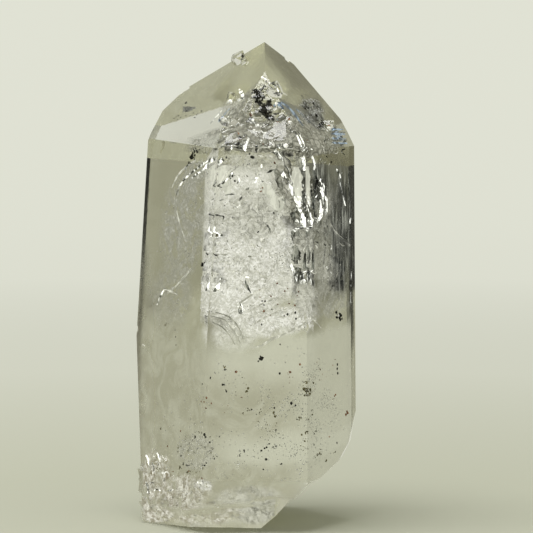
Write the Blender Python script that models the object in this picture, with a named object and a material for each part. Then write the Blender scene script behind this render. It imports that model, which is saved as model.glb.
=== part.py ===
"""A smoky quartz crystal, standing upright on the broken end that it grew from.

The crystal is one solid. Its six side faces and six end faces are flat cuts through a
block. Small crystals grown on it, steps, pits, chips and the broken foot are then fused
to it or cut from it. The origin is under the crystal, on the surface that it stands on.
X runs to the right, Y away from the viewer and Z up.
"""

import math
import random
from collections import namedtuple

import bmesh
import bpy
from mathutils import Matrix, Vector

MM = 0.001
COLLECTION_NAME = "smoky quartz crystal"
SHAPES_COLLECTION_NAME = "growth and fracture shapes"
CRYSTAL_NAME = "quartz_crystal"
SEED = 7

# How the crystal stands, in degrees: its axis leans to the right, and its faces are
# turned a little from square on. The two right-hand side faces close in towards the tip.
LEAN = 3.5
TURN = 2.3
TAPER = 3.4

# A face is given by the compass direction that it looks in, where 0 is the viewer and
# 90 the right, by how far its normal leans from straight up, and by its distance from
# the point where the crystal's axis meets the ground, in millimetres.
Face = namedtuple("Face", "azimuth polar distance")

SIDE_FACES = {
    "front": Face(0, 90, 14.75),
    "right front": Face(60, 90 - TAPER, 14.88),
    "right back": Face(120, 90 - TAPER, 13.98),
    "back": Face(180, 90, 15.1),
    "left back": Face(-120, 90, 16.93),
    "left front": Face(-60, 90, 14.24),
}

# The end faces: three large ones and three small ones. Each is given by the height at
# which it meets the crystal's axis instead of by its distance.
TIP_FACES = {
    "large left": Face(-60, 50.1, 73.5),
    "large right": Face(58.9, 48.9, 70.4),
    "large back": Face(180, 51.8, 72.2),
    "small front": Face(-0.4, 53.9, 77.2),
    "small right": Face(120, 51.8, 74.0),
    "small left": Face(-120, 51.8, 82.1),
}

# Narrow faces that cut a corner, given by a point on them in millimetres.
CORNER_FACES = (
    (Face(-92, 69.8, None), (-14.05, 0.0, 58.9)),
    (Face(94, 63.4, None), (15.6, -1.5, 58.2)),
    (Face(-90, 92.1, None), (-16.42, 0.0, 27.3)),
    (Face(-30, 9.0, None), (2.0, 0.0, 71.85)),
)

# The broken lower right corner: flat breaks through the whole crystal that together
# round it off.
LOWER_RIGHT_BREAKS = (
    (Face(84, 101.0, None), (16.15, 0.0, 14.4)),
    (Face(84, 117.0, None), (14.9, 0.0, 10.5)),
    (Face(84, 139.0, None), (13.9, 0.0, 9.2)),
)

# Wedges broken out of the foot, each the space outside two planes: one that is its
# roof and one that is its inner wall. Points are in millimetres.
FOOT_WEDGES = {
    "right ledge": (((12.9, 0.0, 8.5), 97, 13), ((11.3, 0.0, 7.3), 82, 48)),
    "right foot": (((8.4, 0.0, 5.3), 90, 7), ((6.9, 0.0, 4.6), 80, 76)),
    "front foot": (((0.0, -12.0, 3.9), 12, 16), ((1.0, -9.6, 2.0), -8, 66)),
    "front left foot": (((-9.0, -9.0, 2.6), -50, 20), ((-9.2, -7.6, 1.2), -38, 60)),
    "back foot": (((1.0, 12.0, 5.6), 176, 19), ((0.0, 9.6, 3.0), 189, 63)),
    "back left foot": (((-10.0, 8.0, 4.0), -140, 17), ((-9.5, 7.4, 2.0), -128, 58)),
}
WEDGE_REACH = 40.0
GROUND_SIZE = 90.0

# Shell-shaped hollows struck from the foot: centre, radii and turn about Z.
FOOT_HOLLOWS = {
    "right shell": ((12.4, -5.0, 4.2), (4.4, 5.2, 3.9), 20),
    "right back shell": ((10.5, 7.5, 3.2), (4.2, 4.4, 4.4), -35),
    "front shell": ((3.6, -14.4, 2.2), (4.6, 3.4, 3.4), 8),
    "front left shell": ((-6.3, -14.0, 1.2), (3.6, 2.8, 2.9), -28),
    "front right shell": ((9.4, -11.6, 5.2), (3.2, 3.0, 2.6), -48),
    "right flank shell": ((7.6, 1.8, 0.6), (2.6, 3.8, 3.4), 10),
    "front flank shell": ((-1.8, -10.2, 0.4), (3.9, 2.1, 2.6), -12),
    "ledge shell": ((14.4, 0.5, 7.0), (3.5, 13.0, 1.6), 4),
    "left back shell": ((-11.8, 7.6, 0.8), (3.4, 2.6, 3.2), 42),
    "back shell": ((-2.0, 14.2, 2.4), (5.0, 3.6, 4.2), 0),
}

# Small crystals that stand on the end faces: centre, radius, length and the direction
# of their long axis.
BEAD_CRYSTALS = {
    "ridge bead": ((-1.0, 1.1, 69.3), 1.2, 2.5, (0.35, -0.30, 0.88)),
    "ridge bead twin": ((-0.2, -0.5, 69.0), 0.55, 1.3, (-0.6, 0.1, 0.8)),
    "left bead": ((-2.1, -5.9, 64.0), 0.78, 1.6, (-0.45, -0.45, 0.77)),
    "left bead twin": ((-0.9, -6.5, 63.6), 0.62, 1.7, (0.95, -0.2, 0.2)),
    "right bead": ((12.4, -2.6, 59.6), 1.02, 2.2, (0.5, -0.62, 0.6)),
    "right bead twin": ((11.3, -4.4, 59.4), 0.7, 1.6, (0.1, -0.8, 0.6)),
    "rim crystal": ((4.3, -8.7, 64.9), 1.15, 3.2, (0.25, -0.45, 0.85)),
}

# The crust of small crystals that hugs the foot, mostly on the left.
CRUST_COUNT = 120
CRUST_AZIMUTHS = (-138, 24)
CRUST_HEIGHTS = (0.8, 12.0)
CRUST_RADII = (0.55, 1.6)
CRUST_SINK = (0.45, 0.95)
CRUST_MARGIN = 0.3

# The hollows etched into the small front face: centre, radii and depth.
ETCHED_HOLLOWS = {
    "etched hollow": ((1.9, -12.6, 60.0), (5.0, 3.6, 1.5), 0.6),
    "upper pit": ((2.8, -10.6, 63.2), (1.9, 1.6, 1.2), 0.75),
}

# The rounded scales on the floor of the large hollow.
SCALE_COUNT = 58
SCALE_RADII = (0.4, 1.05)
SCALE_SPREAD = (5.2, 3.7)
SCALE_SINK = (0.0, 0.25)
SCALE_HEIGHT = 0.55

# A ladder of narrow steps on the large right face, near the right corner.
LADDER_FOOT = (14.3, -2.3, 57.1)
LADDER_RUNGS = 4
LADDER_PITCH = 0.82
RUNG_SIZE = (2.1, 0.4, 0.6)

# Stepped hollows of the faces that look away from the viewer: the face, the place of
# the hollow along the face and up it, its radius, and how many steps go down.
STEPPED_HOLLOWS = (
    ("large back", 8.2, -7.2, 2.3, 3),
    ("small right", 0.0, -4.6, 2.9, 3),
    ("small left", 0.4, -2.6, 2.2, 3),
)
HOLLOW_START_REACH = 8.5
HOLLOW_START_HEIGHT = 62.0
STEP_DEPTH = 0.22
STEP_SHRINK = 0.74

# Small chips on the edges: centre and radius.
EDGE_CHIPS = {
    "ridge notch": ((6.45, 1.9, 69.75), 0.62),
    "ridge notch below": ((6.0, 1.6, 70.3), 0.4),
    "tip chip": ((1.9, -1.1, 71.9), 0.45),
    "front left edge chip": ((-5.2, -15.1, 21.6), 0.42),
    "front left edge nick": ((-4.7, -15.2, 38.4), 0.3),
    "right edge chip": ((16.3, -1.4, 35.0), 0.36),
    "left edge chip": ((-16.4, 1.9, 28.8), 0.34),
    "front right edge chip": ((9.1, -14.2, 30.5), 0.4),
}


def remove_everything():
    """Removes the objects that the scene already holds."""
    for existing in list(bpy.data.objects):
        bpy.data.objects.remove(existing, do_unlink=True)


def new_collection(name):
    """Makes a collection under the scene's own."""
    collection = bpy.data.collections.new(name)
    bpy.context.scene.collection.children.link(collection)
    return collection


def direction(azimuth, polar):
    """The unit vector that a face with this azimuth and polar angle looks along."""
    across = math.radians(azimuth)
    down = math.radians(polar)
    return Vector((
        math.sin(across) * math.sin(down),
        -math.cos(across) * math.sin(down),
        math.cos(down),
    ))


def crystal_lean():
    """The rotation that leans the crystal's axis to the right."""
    return Matrix.Rotation(math.radians(LEAN), 3, "Y")


def face_plane(face, is_tip):
    """The point and normal, in metres, of a face of the leaning crystal."""
    normal = direction(face.azimuth + TURN, face.polar)
    distance = face.distance
    if is_tip:
        distance *= normal.z
    lean = crystal_lean()
    return lean @ (normal * distance * MM), lean @ normal


def plane_through(face, point_mm):
    """The point and normal of a corner face that passes through a given point."""
    return Vector(point_mm) * MM, direction(face.azimuth, face.polar)


def tip_plane(name):
    """The point and normal of one of the named end faces."""
    return face_plane(TIP_FACES[name], is_tip=True)


def keep_inside(bm, point, normal):
    """Cuts off what lies beyond a plane and closes the cut with one flat face."""
    geometry = bm.verts[:] + bm.edges[:] + bm.faces[:]
    cut = bmesh.ops.bisect_plane(
        bm, geom=geometry, dist=1e-8, plane_co=point, plane_no=normal, clear_outer=True)
    rim = [item for item in cut["geom_cut"] if isinstance(item, bmesh.types.BMEdge)]
    if rim:
        bmesh.ops.edgeloop_fill(bm, edges=rim)


def block_cut_by(planes, block_size):
    """A mesh of what is left of a block inside all the planes."""
    bm = bmesh.new()
    bmesh.ops.create_cube(bm, size=block_size)
    for point, normal in planes:
        keep_inside(bm, point, normal)
    bmesh.ops.remove_doubles(bm, verts=bm.verts[:], dist=1e-6)
    bmesh.ops.recalc_face_normals(bm, faces=bm.faces[:])
    return bm


def add_object(name, bm, collection):
    """Turns a mesh under construction into an object of a collection."""
    mesh = bpy.data.meshes.new(name)
    bm.to_mesh(mesh)
    bm.free()
    thing = bpy.data.objects.new(name, mesh)
    collection.objects.link(thing)
    return thing


def add_shape(name, bm, collection):
    """Adds a helper shape that is fused to the crystal or cut from it."""
    shape = add_object(name, bm, collection)
    shape.hide_render = True
    shape.display_type = "WIRE"
    return shape


def crystal_block():
    """The crystal's flat-faced body, cut off level at the ground."""
    planes = [face_plane(face, is_tip=False) for face in SIDE_FACES.values()]
    planes += [face_plane(face, is_tip=True) for face in TIP_FACES.values()]
    planes += [plane_through(face, point) for face, point in CORNER_FACES]
    planes += [plane_through(face, point) for face, point in LOWER_RIGHT_BREAKS]
    planes.append((Vector((0, 0, 0)), Vector((0, 0, -1))))
    return block_cut_by(planes, 0.2)


def small_quartz(name, centre, radius, length, axis, turn, generator, collection):
    """A small six-sided crystal with a point at both ends, its faces of unequal size."""
    planes = []
    for side in range(6):
        normal = direction(60 * side, 90)
        distance = radius * generator.uniform(0.82, 1.05)
        planes.append((normal * distance * MM, normal))
    for end in (0, 180):
        for side in range(6):
            polar = abs(end - 51.8)
            normal = direction(60 * side + end / 6, polar)
            reach = length / 2 * generator.uniform(0.86, 1.2)
            planes.append((normal * reach * MM * abs(normal.z) * 1.25, normal))
    shape = add_shape(name, block_cut_by(planes, 4 * length * MM), collection)
    shape.location = Vector(centre) * MM
    upright = Vector(axis).normalized().to_track_quat("Z", "Y")
    shape.rotation_mode = "QUATERNION"
    shape.rotation_quaternion = upright @ Matrix.Rotation(turn, 3, "Z").to_quaternion()
    return shape


def surface_point(azimuth, height):
    """Where a level line from the axis, at a height in millimetres, leaves the body."""
    start = crystal_lean() @ Vector((0, 0, height * MM))
    start.z = height * MM
    outward = direction(azimuth, 90)
    planes = [face_plane(face, is_tip=False) for face in SIDE_FACES.values()]
    planes += [plane_through(face, point) for face, point in CORNER_FACES]
    reach = []
    for point, normal in planes:
        closing = outward.dot(normal)
        if closing > 1e-6:
            reach.append((point - start).dot(normal) / closing)
    return start + outward * min(reach), outward


def add_bead_crystals(collection, generator):
    """The separate small crystals on the end faces."""
    for name, (centre, radius, length, axis) in BEAD_CRYSTALS.items():
        turn = generator.uniform(0, math.pi / 3)
        small_quartz(name, centre, radius, length, axis, turn, generator, collection)


def wedge_planes(roof, wall):
    """The planes that bound a wedge: its roof and its inner wall, facing out of it."""
    planes = []
    for point, azimuth, slope in (roof, wall):
        planes.append((Vector(point) * MM, -direction(azimuth, 180 - slope)))
    return planes


def is_broken_away(centre):
    """Whether a point, in millimetres, lies in a wedge or hollow missing from the foot."""
    for roof, wall in FOOT_WEDGES.values():
        depths = [(centre * MM - point).dot(normal) for point, normal in wedge_planes(roof, wall)]
        if max(depths) < CRUST_MARGIN * MM:
            return True
    for middle, radii, _ in FOOT_HOLLOWS.values():
        offset = centre - Vector(middle)
        reach = sum((offset[axis] / (radii[axis] + CRUST_MARGIN)) ** 2 for axis in range(3))
        if reach < 1:
            return True
    return False


def add_crust(collection, generator):
    """The small crystals that crowd around the foot, half sunk in it."""
    for index in range(CRUST_COUNT):
        azimuth = generator.uniform(*CRUST_AZIMUTHS)
        low, high = CRUST_HEIGHTS
        height = low + (high - low) * generator.random() ** 1.5
        radius = generator.uniform(*CRUST_RADII)
        point, outward = surface_point(azimuth, height)
        centre = (point / MM) - outward * radius * generator.uniform(*CRUST_SINK)
        axis = (
            outward.x + generator.uniform(-0.7, 0.7),
            outward.y + generator.uniform(-0.7, 0.7),
            generator.uniform(-0.2, 1.3),
        )
        turn = generator.uniform(0, math.pi / 3)
        length = radius * generator.uniform(1.7, 2.3)
        if is_broken_away(centre):
            continue
        small_quartz(
            f"crust crystal {index + 1}", centre, radius, length, axis, turn, generator, collection)


def add_ball(name, centre, radii, turn, collection, subdivisions):
    """A ball or egg shape from a faceted sphere."""
    bm = bmesh.new()
    bmesh.ops.create_icosphere(bm, subdivisions=subdivisions, radius=1.0)
    scale = Matrix.Diagonal(Vector(radii) * MM).to_4x4()
    bmesh.ops.transform(bm, matrix=scale, verts=bm.verts[:])
    shape = add_shape(name, bm, collection)
    shape.location = Vector(centre) * MM
    shape.rotation_euler = (0, 0, math.radians(turn))
    return shape


def add_foot_breaks(collection):
    """The wedges and shell-shaped hollows that are missing from the foot."""
    for name, (roof, wall) in FOOT_WEDGES.items():
        planes = wedge_planes(roof, wall)
        planes.append((Vector((0, 0, -5)) * MM, Vector((0, 0, -1))))
        add_shape(name, block_cut_by(planes, WEDGE_REACH * 2 * MM), collection)
    for name, (centre, radii, turn) in FOOT_HOLLOWS.items():
        add_ball(name, centre, radii, turn, collection, 3)


def add_edge_chips(collection):
    """The small chips on the edges."""
    for index, (name, (centre, radius)) in enumerate(EDGE_CHIPS.items()):
        radii = (radius, radius * 1.3, radius * 1.6)
        add_ball(name, centre, radii, 37 * index, collection, 2)


def face_frame(name):
    """The rotation whose Z looks out of a face, whose X runs level along it."""
    _, normal = tip_plane(name)
    level = Vector((0, 0, 1)).cross(normal).normalized()
    uphill = normal.cross(level)
    return Matrix((level, uphill, normal)).transposed()


def face_origin(name):
    """The point of an end face from which its hollow's place is measured."""
    point, normal = tip_plane(name)
    azimuth = TIP_FACES[name].azimuth + TURN
    start = direction(azimuth, 90) * HOLLOW_START_REACH * MM + Vector((0, 0, HOLLOW_START_HEIGHT * MM))
    start = crystal_lean() @ start
    return start + normal * (point - start).dot(normal)


def add_stepped_hollows(collection):
    """Nested three-sided hollows, each step deeper and smaller than the last."""
    for name, along, up, radius, steps in STEPPED_HOLLOWS:
        frame = face_frame(name)
        centre = face_origin(name) + frame @ (Vector((along, up, 0)) * MM)
        for step in range(steps):
            depth = STEP_DEPTH * (step + 1)
            bm = bmesh.new()
            bmesh.ops.create_cone(
                bm, cap_ends=True, segments=3, depth=2 * depth * MM,
                radius1=radius * STEP_SHRINK ** step * MM,
                radius2=radius * STEP_SHRINK ** step * MM)
            shape = add_shape(f"{name} hollow step {step + 1}", bm, collection)
            slip = Vector((0.16 * step, 0.22 * step, 0)) * MM
            spin = Matrix.Rotation(math.radians(90), 3, "Z")
            placed = (frame @ spin).to_4x4()
            placed.translation = centre + frame @ slip
            shape.matrix_world = placed


def add_ladder(collection):
    """The short level grooves stacked near the right corner."""
    frame = face_frame("large right")
    uphill = frame @ Vector((0, 1, 0))
    for rung in range(LADDER_RUNGS):
        bm = bmesh.new()
        bmesh.ops.create_cube(bm, size=MM)
        shape = add_shape(f"ladder rung {rung + 1}", bm, collection)
        placed = frame.to_4x4()
        placed.translation = Vector(LADDER_FOOT) * MM + uphill * LADDER_PITCH * rung * MM
        size = Vector((RUNG_SIZE[0] * (1 - 0.12 * rung), RUNG_SIZE[1], RUNG_SIZE[2]))
        shape.matrix_world = placed @ Matrix.Diagonal(size).to_4x4()


def etched_centre(name):
    """The middle of an etched hollow, on the small front face."""
    point, normal = tip_plane("small front")
    centre = Vector(ETCHED_HOLLOWS[name][0]) * MM
    return centre + normal * (point - centre).dot(normal)


def add_etched_hollows(collection):
    """The hollows etched into the small front face."""
    _, normal = tip_plane("small front")
    for name, (centre, radii, depth) in ETCHED_HOLLOWS.items():
        shape = add_ball(name, centre, radii, 0, collection, 3)
        placed = face_frame("small front").to_4x4()
        placed.translation = etched_centre(name) + normal * (radii[2] - depth) * MM
        shape.matrix_world = placed


def add_scales(collection, generator):
    """The rounded scales on the large etched hollow's floor."""
    frame = face_frame("small front")
    floor_depth = ETCHED_HOLLOWS["etched hollow"][2]
    for index in range(SCALE_COUNT):
        turn = generator.uniform(0, 2 * math.pi)
        spread = math.sqrt(generator.random())
        along = SCALE_SPREAD[0] * spread * math.cos(turn)
        up = SCALE_SPREAD[1] * spread * math.sin(turn)
        low, high = SCALE_RADII
        radius = low + (high - low) * generator.random() ** 2
        bm = bmesh.new()
        bmesh.ops.create_icosphere(bm, subdivisions=2, radius=radius * MM)
        shape = add_shape(f"scale {index + 1}", bm, collection)
        placed = frame.to_4x4()
        sink = floor_depth * max(0.0, 1 - spread * spread) + generator.uniform(*SCALE_SINK)
        placed.translation = etched_centre("etched hollow") + frame @ (Vector((along, up, -sink)) * MM)
        flat = Matrix.Diagonal(Vector((1, generator.uniform(0.6, 1), SCALE_HEIGHT))).to_4x4()
        shape.matrix_world = placed @ Matrix.Rotation(turn, 4, "Z") @ flat


def add_ground(collection):
    """The block under the ground, which levels whatever small crystal reaches into it."""
    bm = bmesh.new()
    bmesh.ops.create_cube(bm, size=GROUND_SIZE * MM)
    shape = add_shape("ground block", bm, collection)
    shape.location = Vector((0, 0, -GROUND_SIZE / 2)) * MM


def add_boolean(crystal, name, operation, collection):
    """Fuses a collection's shapes to the crystal or cuts them from it."""
    modifier = crystal.modifiers.new(name, "BOOLEAN")
    modifier.operation = operation
    modifier.operand_type = "COLLECTION"
    modifier.collection = collection
    modifier.solver = "EXACT"


def smoky_quartz_material():
    """Clear quartz with a faint olive smoke."""
    material = bpy.data.materials.new("smoky quartz")
    material.use_nodes = True
    shader = material.node_tree.nodes["Principled BSDF"]
    shader.inputs["Base Color"].default_value = (0.60, 0.60, 0.50, 1.0)
    shader.inputs["Roughness"].default_value = 0.06
    shader.inputs["Metallic"].default_value = 0.0
    shader.inputs["IOR"].default_value = 1.55
    material.diffuse_color = (0.60, 0.60, 0.50, 1.0)
    return material


def build():
    """Builds the crystal."""
    remove_everything()
    generator = random.Random(SEED)
    visible = new_collection(COLLECTION_NAME)
    shapes = new_collection(SHAPES_COLLECTION_NAME)
    groups = {}
    for name in ("hollows", "growths", "breaks", "ground"):
        groups[name] = bpy.data.collections.new(name)
        shapes.children.link(groups[name])

    crystal = add_object(CRYSTAL_NAME, crystal_block(), visible)
    crystal.data.materials.append(smoky_quartz_material())

    add_stepped_hollows(groups["hollows"])
    add_ladder(groups["hollows"])
    add_etched_hollows(groups["hollows"])
    add_scales(groups["growths"], generator)
    add_bead_crystals(groups["growths"], generator)
    add_crust(groups["growths"], generator)
    add_foot_breaks(groups["breaks"])
    add_edge_chips(groups["breaks"])
    add_ground(groups["ground"])

    add_boolean(crystal, "steps and hollows", "DIFFERENCE", groups["hollows"])
    add_boolean(crystal, "chips and breaks", "DIFFERENCE", groups["breaks"])
    add_boolean(crystal, "small crystals", "UNION", groups["growths"])
    add_boolean(crystal, "level ground", "DIFFERENCE", groups["ground"])


build()
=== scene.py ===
"""The looks of a smoky quartz crystal that stands on its broken foot.

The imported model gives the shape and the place. This file gives the clear body its finish,
fills it with the veils, cracks, bubbles and dark grains that show inside the real stone,
and sets up a plain pale stage, soft light and the camera.
"""

import logging
import math
import random
from dataclasses import dataclass, replace
from enum import Enum

import bmesh
import bpy
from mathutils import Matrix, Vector, noise
from mathutils.bvhtree import BVHTree

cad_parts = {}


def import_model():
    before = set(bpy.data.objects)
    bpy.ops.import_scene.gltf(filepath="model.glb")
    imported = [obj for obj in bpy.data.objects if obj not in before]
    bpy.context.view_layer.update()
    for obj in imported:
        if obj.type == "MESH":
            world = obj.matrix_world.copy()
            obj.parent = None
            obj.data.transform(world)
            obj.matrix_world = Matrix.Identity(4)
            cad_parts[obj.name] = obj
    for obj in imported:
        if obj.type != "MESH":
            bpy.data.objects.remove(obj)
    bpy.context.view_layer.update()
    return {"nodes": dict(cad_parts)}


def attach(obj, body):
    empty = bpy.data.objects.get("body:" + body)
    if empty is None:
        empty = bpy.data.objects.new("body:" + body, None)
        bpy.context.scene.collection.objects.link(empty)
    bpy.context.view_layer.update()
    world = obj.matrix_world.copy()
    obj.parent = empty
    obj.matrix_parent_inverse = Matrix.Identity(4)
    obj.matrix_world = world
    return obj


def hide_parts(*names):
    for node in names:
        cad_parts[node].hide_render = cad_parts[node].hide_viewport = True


LOG = logging.getLogger("quartz")
MM = 0.001
BODY = "root"
CRYSTAL_NODE = "quartz_crystal"
QUARTZ_IOR = 1.55

Colour = tuple[float, float, float]
Span = tuple[float, float]
Socket = bpy.types.NodeSocket
NO_LIGHT: Colour = (0.0, 0.0, 0.0)


@dataclass(frozen=True)
class Mottle:
    """A blotchy pattern that is read as a mask.

    The scale counts the blotches in a metre. The mask starts at the low noise level and is full
    at the high one. Stretch makes the blotches finer along an axis, and swirl draws them out.
    """

    scale: float
    low: float
    high: float
    stretch: Colour = (1.0, 1.0, 1.0)
    swirl: float = 0.0


@dataclass
class NodeBench:
    """A node tree, with a short way to add each kind of node that the finishes need."""

    tree: bpy.types.NodeTree

    def add(self, kind: str, **sockets: object) -> bpy.types.Node:
        """Adds a node and fills its inputs.

        Args:
            kind: The node's type.
            sockets: A value or another node's socket for each named input.

        Returns:
            The node.
        """
        node = self.tree.nodes.new(kind)
        self.fill(node, **sockets)
        return node

    def fill(self, node: bpy.types.Node, **sockets: object) -> None:
        """Fills the inputs of a node.

        Args:
            node: The node.
            sockets: A value or another node's socket for each named input.
        """
        for label, value in sockets.items():
            self.feed(node.inputs[label.replace("_", " ")], value)

    def feed(self, socket: Socket, value: object) -> None:
        """Links a socket to an input, or gives the input a plain value.

        Args:
            socket: The input.
            value: A socket, a number, a colour or a vector.
        """
        if isinstance(value, bpy.types.NodeSocket):
            self.tree.links.new(value, socket)
        elif isinstance(value, tuple) and socket.type == "RGBA":
            socket.default_value = (*value, 1.0)
        else:
            socket.default_value = value

    def math(self, operation: str, *values: object) -> Socket:
        """Adds a math node.

        Args:
            operation: What the node does.
            values: Its inputs, each a socket or a number.

        Returns:
            Its result.
        """
        node = self.tree.nodes.new("ShaderNodeMath")
        node.operation = operation
        for socket, value in zip(node.inputs, values):
            self.feed(socket, value)
        return node.outputs[0]

    def product(self, first: object, *others: object) -> Socket:
        """Multiplies sockets and numbers.

        Args:
            first: The first factor.
            others: The other factors.

        Returns:
            The product.
        """
        for other in others:
            first = self.math("MULTIPLY", first, other)
        return first

    def between(self, mask: Socket, low: float, high: float = 1.0) -> Socket:
        """Turns a mask into a value.

        Args:
            mask: The mask, from 0 to 1.
            low: The value where it is 0.
            high: The value where it is 1.

        Returns:
            The value.
        """
        return self.math("MULTIPLY_ADD", mask, high - low, low)

    def smooth(self, value: Socket, low: object, high: object) -> Socket:
        """Adds a smooth step from 0 at the low value to 1 at the high value.

        Args:
            value: What is tested.
            low: Where the step starts.
            high: Where it ends.

        Returns:
            The step.
        """
        node = self.tree.nodes.new("ShaderNodeMapRange")
        node.interpolation_type = "SMOOTHSTEP"
        self.fill(node, From_Min=low, From_Max=high, Value=value)
        return node.outputs["Result"]

    def ramp(self, value: Socket, stops: list[tuple[float, Colour]]) -> Socket:
        """Adds a colour ramp.

        Args:
            value: Where the ramp is read.
            stops: Each stop's position and colour.

        Returns:
            The colour.
        """
        node = self.add("ShaderNodeValToRGB", Fac=value)
        elements = node.color_ramp.elements
        while len(elements) < len(stops):
            elements.new(1.0)
        for element, (position, colour) in zip(elements, stops):
            element.position = position
            element.color = (*colour, 1.0)
        return node.outputs["Color"]

    def mix(self, share: object, first: object, second: object) -> Socket:
        """Adds a mix of two colours.

        Args:
            share: The second colour's share.
            first: The colour at 0.
            second: The colour at 1.

        Returns:
            The mixed colour.
        """
        node = self.tree.nodes.new("ShaderNodeMix")
        node.data_type = "RGBA"
        self.fill(node, Factor=share)
        colours = [socket for socket in node.inputs if socket.type == "RGBA"]
        self.feed(colours[0], first)
        self.feed(colours[1], second)
        return next(socket for socket in node.outputs if socket.type == "RGBA")

    def spot(self) -> Socket:
        """The place on the piece, as a vector."""
        return self.tree.nodes.new("ShaderNodeTexCoord").outputs["Object"]

    def place(self) -> list[Socket]:
        """The place on the piece, as its X, Y and Z."""
        return list(self.add("ShaderNodeSeparateXYZ", Vector=self.spot()).outputs)

    def mottle(self, pattern: Mottle) -> Socket:
        """Adds the shared mottle group.

        Args:
            pattern: The blotches.

        Returns:
            Their mask.
        """
        node = self.tree.nodes.new("ShaderNodeGroup")
        node.node_tree = mottle_group()
        self.fill(node, Scale=pattern.scale, Low=pattern.low, High=pattern.high, Stretch=pattern.stretch,
                  Swirl=pattern.swirl)
        return node.outputs["Mask"]


def mottle_group() -> bpy.types.NodeTree:
    """The blotchy mask that the body and what lies in it share.

    Returns:
        The shader node group, made at its first use.
    """
    known = bpy.data.node_groups.get("mottle")
    if known:
        return known
    group = bpy.data.node_groups.new("mottle", "ShaderNodeTree")
    for label in ("Scale", "Low", "High", "Swirl"):
        group.interface.new_socket(label, in_out="INPUT", socket_type="NodeSocketFloat")
    group.interface.new_socket("Stretch", in_out="INPUT", socket_type="NodeSocketVector")
    group.interface.new_socket("Mask", in_out="OUTPUT", socket_type="NodeSocketFloat")
    bench = NodeBench(group)
    given = bench.add("NodeGroupInput").outputs
    drawn = bench.add("ShaderNodeVectorMath")
    drawn.operation = "MULTIPLY"
    bench.feed(drawn.inputs[0], bench.spot())
    bench.feed(drawn.inputs[1], given["Stretch"])
    blotches = bench.add("ShaderNodeTexNoise", Vector=drawn.outputs[0], Scale=given["Scale"], Detail=4.0,
                         Roughness=0.62, Distortion=given["Swirl"])
    bench.add("NodeGroupOutput", Mask=bench.smooth(blotches.outputs[0], given["Low"], given["High"]))
    return group


def start_finish(name: str) -> tuple[bpy.types.Material, NodeBench, bpy.types.Node]:
    """Starts a material.

    Args:
        name: Its name.

    Returns:
        The material, the bench of its tree and its shader.
    """
    material = bpy.data.materials.new(name)
    material.use_nodes = True
    return material, NodeBench(material.node_tree), material.node_tree.nodes["Principled BSDF"]


@dataclass(frozen=True)
class Bubbles:
    """The thin rims between round cells that lie side by side, by the cells in a metre."""

    scale: float
    width: float = 0.16

    def mask(self, bench: NodeBench) -> Socket:
        """Builds the pattern.

        Args:
            bench: The bench of the material's tree.

        Returns:
            A mask, 0 on a rim and 1 inside a cell.
        """
        cells = bench.add("ShaderNodeTexVoronoi", Vector=bench.spot())
        cells.feature = "DISTANCE_TO_EDGE"
        bench.fill(cells, Scale=self.scale)
        return bench.smooth(cells.outputs["Distance"], 0.0, self.width)


@dataclass(frozen=True)
class Veins:
    """Thin winding lines, in patches, along one level of a swirled noise, by the bends in a metre."""

    scale: float
    width: float = 0.075
    swirl: float = 1.4
    level: float = 0.5
    patch_scale: float = 0.6
    patch_levels: Span = (0.40, 0.56)
    strength: float = 0.85

    def mask(self, bench: NodeBench) -> Socket:
        """Builds the pattern.

        Args:
            bench: The bench of the material's tree.

        Returns:
            A mask, 1 on a line and 0 between the lines.
        """
        swirls = bench.mottle(Mottle(self.scale, 0.0, 1.0, swirl=self.swirl))
        away = bench.math("ABSOLUTE", bench.math("SUBTRACT", swirls, self.level))
        line = bench.smooth(away, self.width, 0.0)
        patch = bench.mottle(Mottle(self.scale * self.patch_scale, *self.patch_levels))
        return bench.product(line, bench.product(patch, self.strength))


@dataclass(frozen=True)
class ClearQuartz:
    """The finish of the clear body: polished above, hazy at its back, its left edge and its foot."""

    tint: Colour = (1.0, 1.0, 0.99)
    smoke: Colour = (0.80, 0.80, 0.66)
    smoke_density: float = 9.0
    haze: float = 0.42
    haze_blotch: Mottle = Mottle(160, 0.35, 0.62)
    thinnest_haze: float = 0.6
    back_reach: Span = (0.5 * MM, 4 * MM)
    back_rise: Span = (33 * MM, 21 * MM)
    left_edge: Span = (-12.5 * MM, -14.5 * MM)
    left_rise: Span = (46 * MM, 36 * MM)
    foot_haze: float = 0.5
    foot_rise: Span = (11 * MM, 5 * MM)
    silk: Mottle = Mottle(900, 0.3, 0.7, (1.0, 1.0, 0.12))
    silk_strength: float = 0.25
    silk_height: float = 0.02 * MM
    name: str = "clear smoky quartz"

    def material(self) -> bpy.types.Material:
        """Builds the material.

        Returns:
            The material.
        """
        material, bench, shader = start_finish(self.name)
        across, depth, height = bench.place()
        beside = bench.product(bench.smooth(across, *self.left_edge), bench.smooth(height, *self.left_rise))
        behind = bench.product(bench.smooth(depth, *self.back_reach), bench.smooth(height, *self.back_rise))
        cloud = bench.between(bench.mottle(self.haze_blotch), self.thinnest_haze)
        haze = bench.product(bench.math("MAXIMUM", behind, beside), cloud, self.haze)
        foot = bench.product(bench.smooth(height, *self.foot_rise), self.foot_haze)
        bump = bench.add("ShaderNodeBump", Strength=self.silk_strength, Distance=self.silk_height,
                         Height=bench.mottle(self.silk))
        bench.fill(shader, Base_Color=self.tint, IOR=QUARTZ_IOR, Transmission_Weight=1.0,
                   Roughness=bench.math("MAXIMUM", haze, foot), Normal=bump.outputs["Normal"])
        volume = bench.add("ShaderNodeVolumeAbsorption", Color=self.smoke, Density=self.smoke_density)
        bench.fill(bench.tree.nodes["Material Output"], Volume=volume.outputs["Volume"])
        return material


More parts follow.
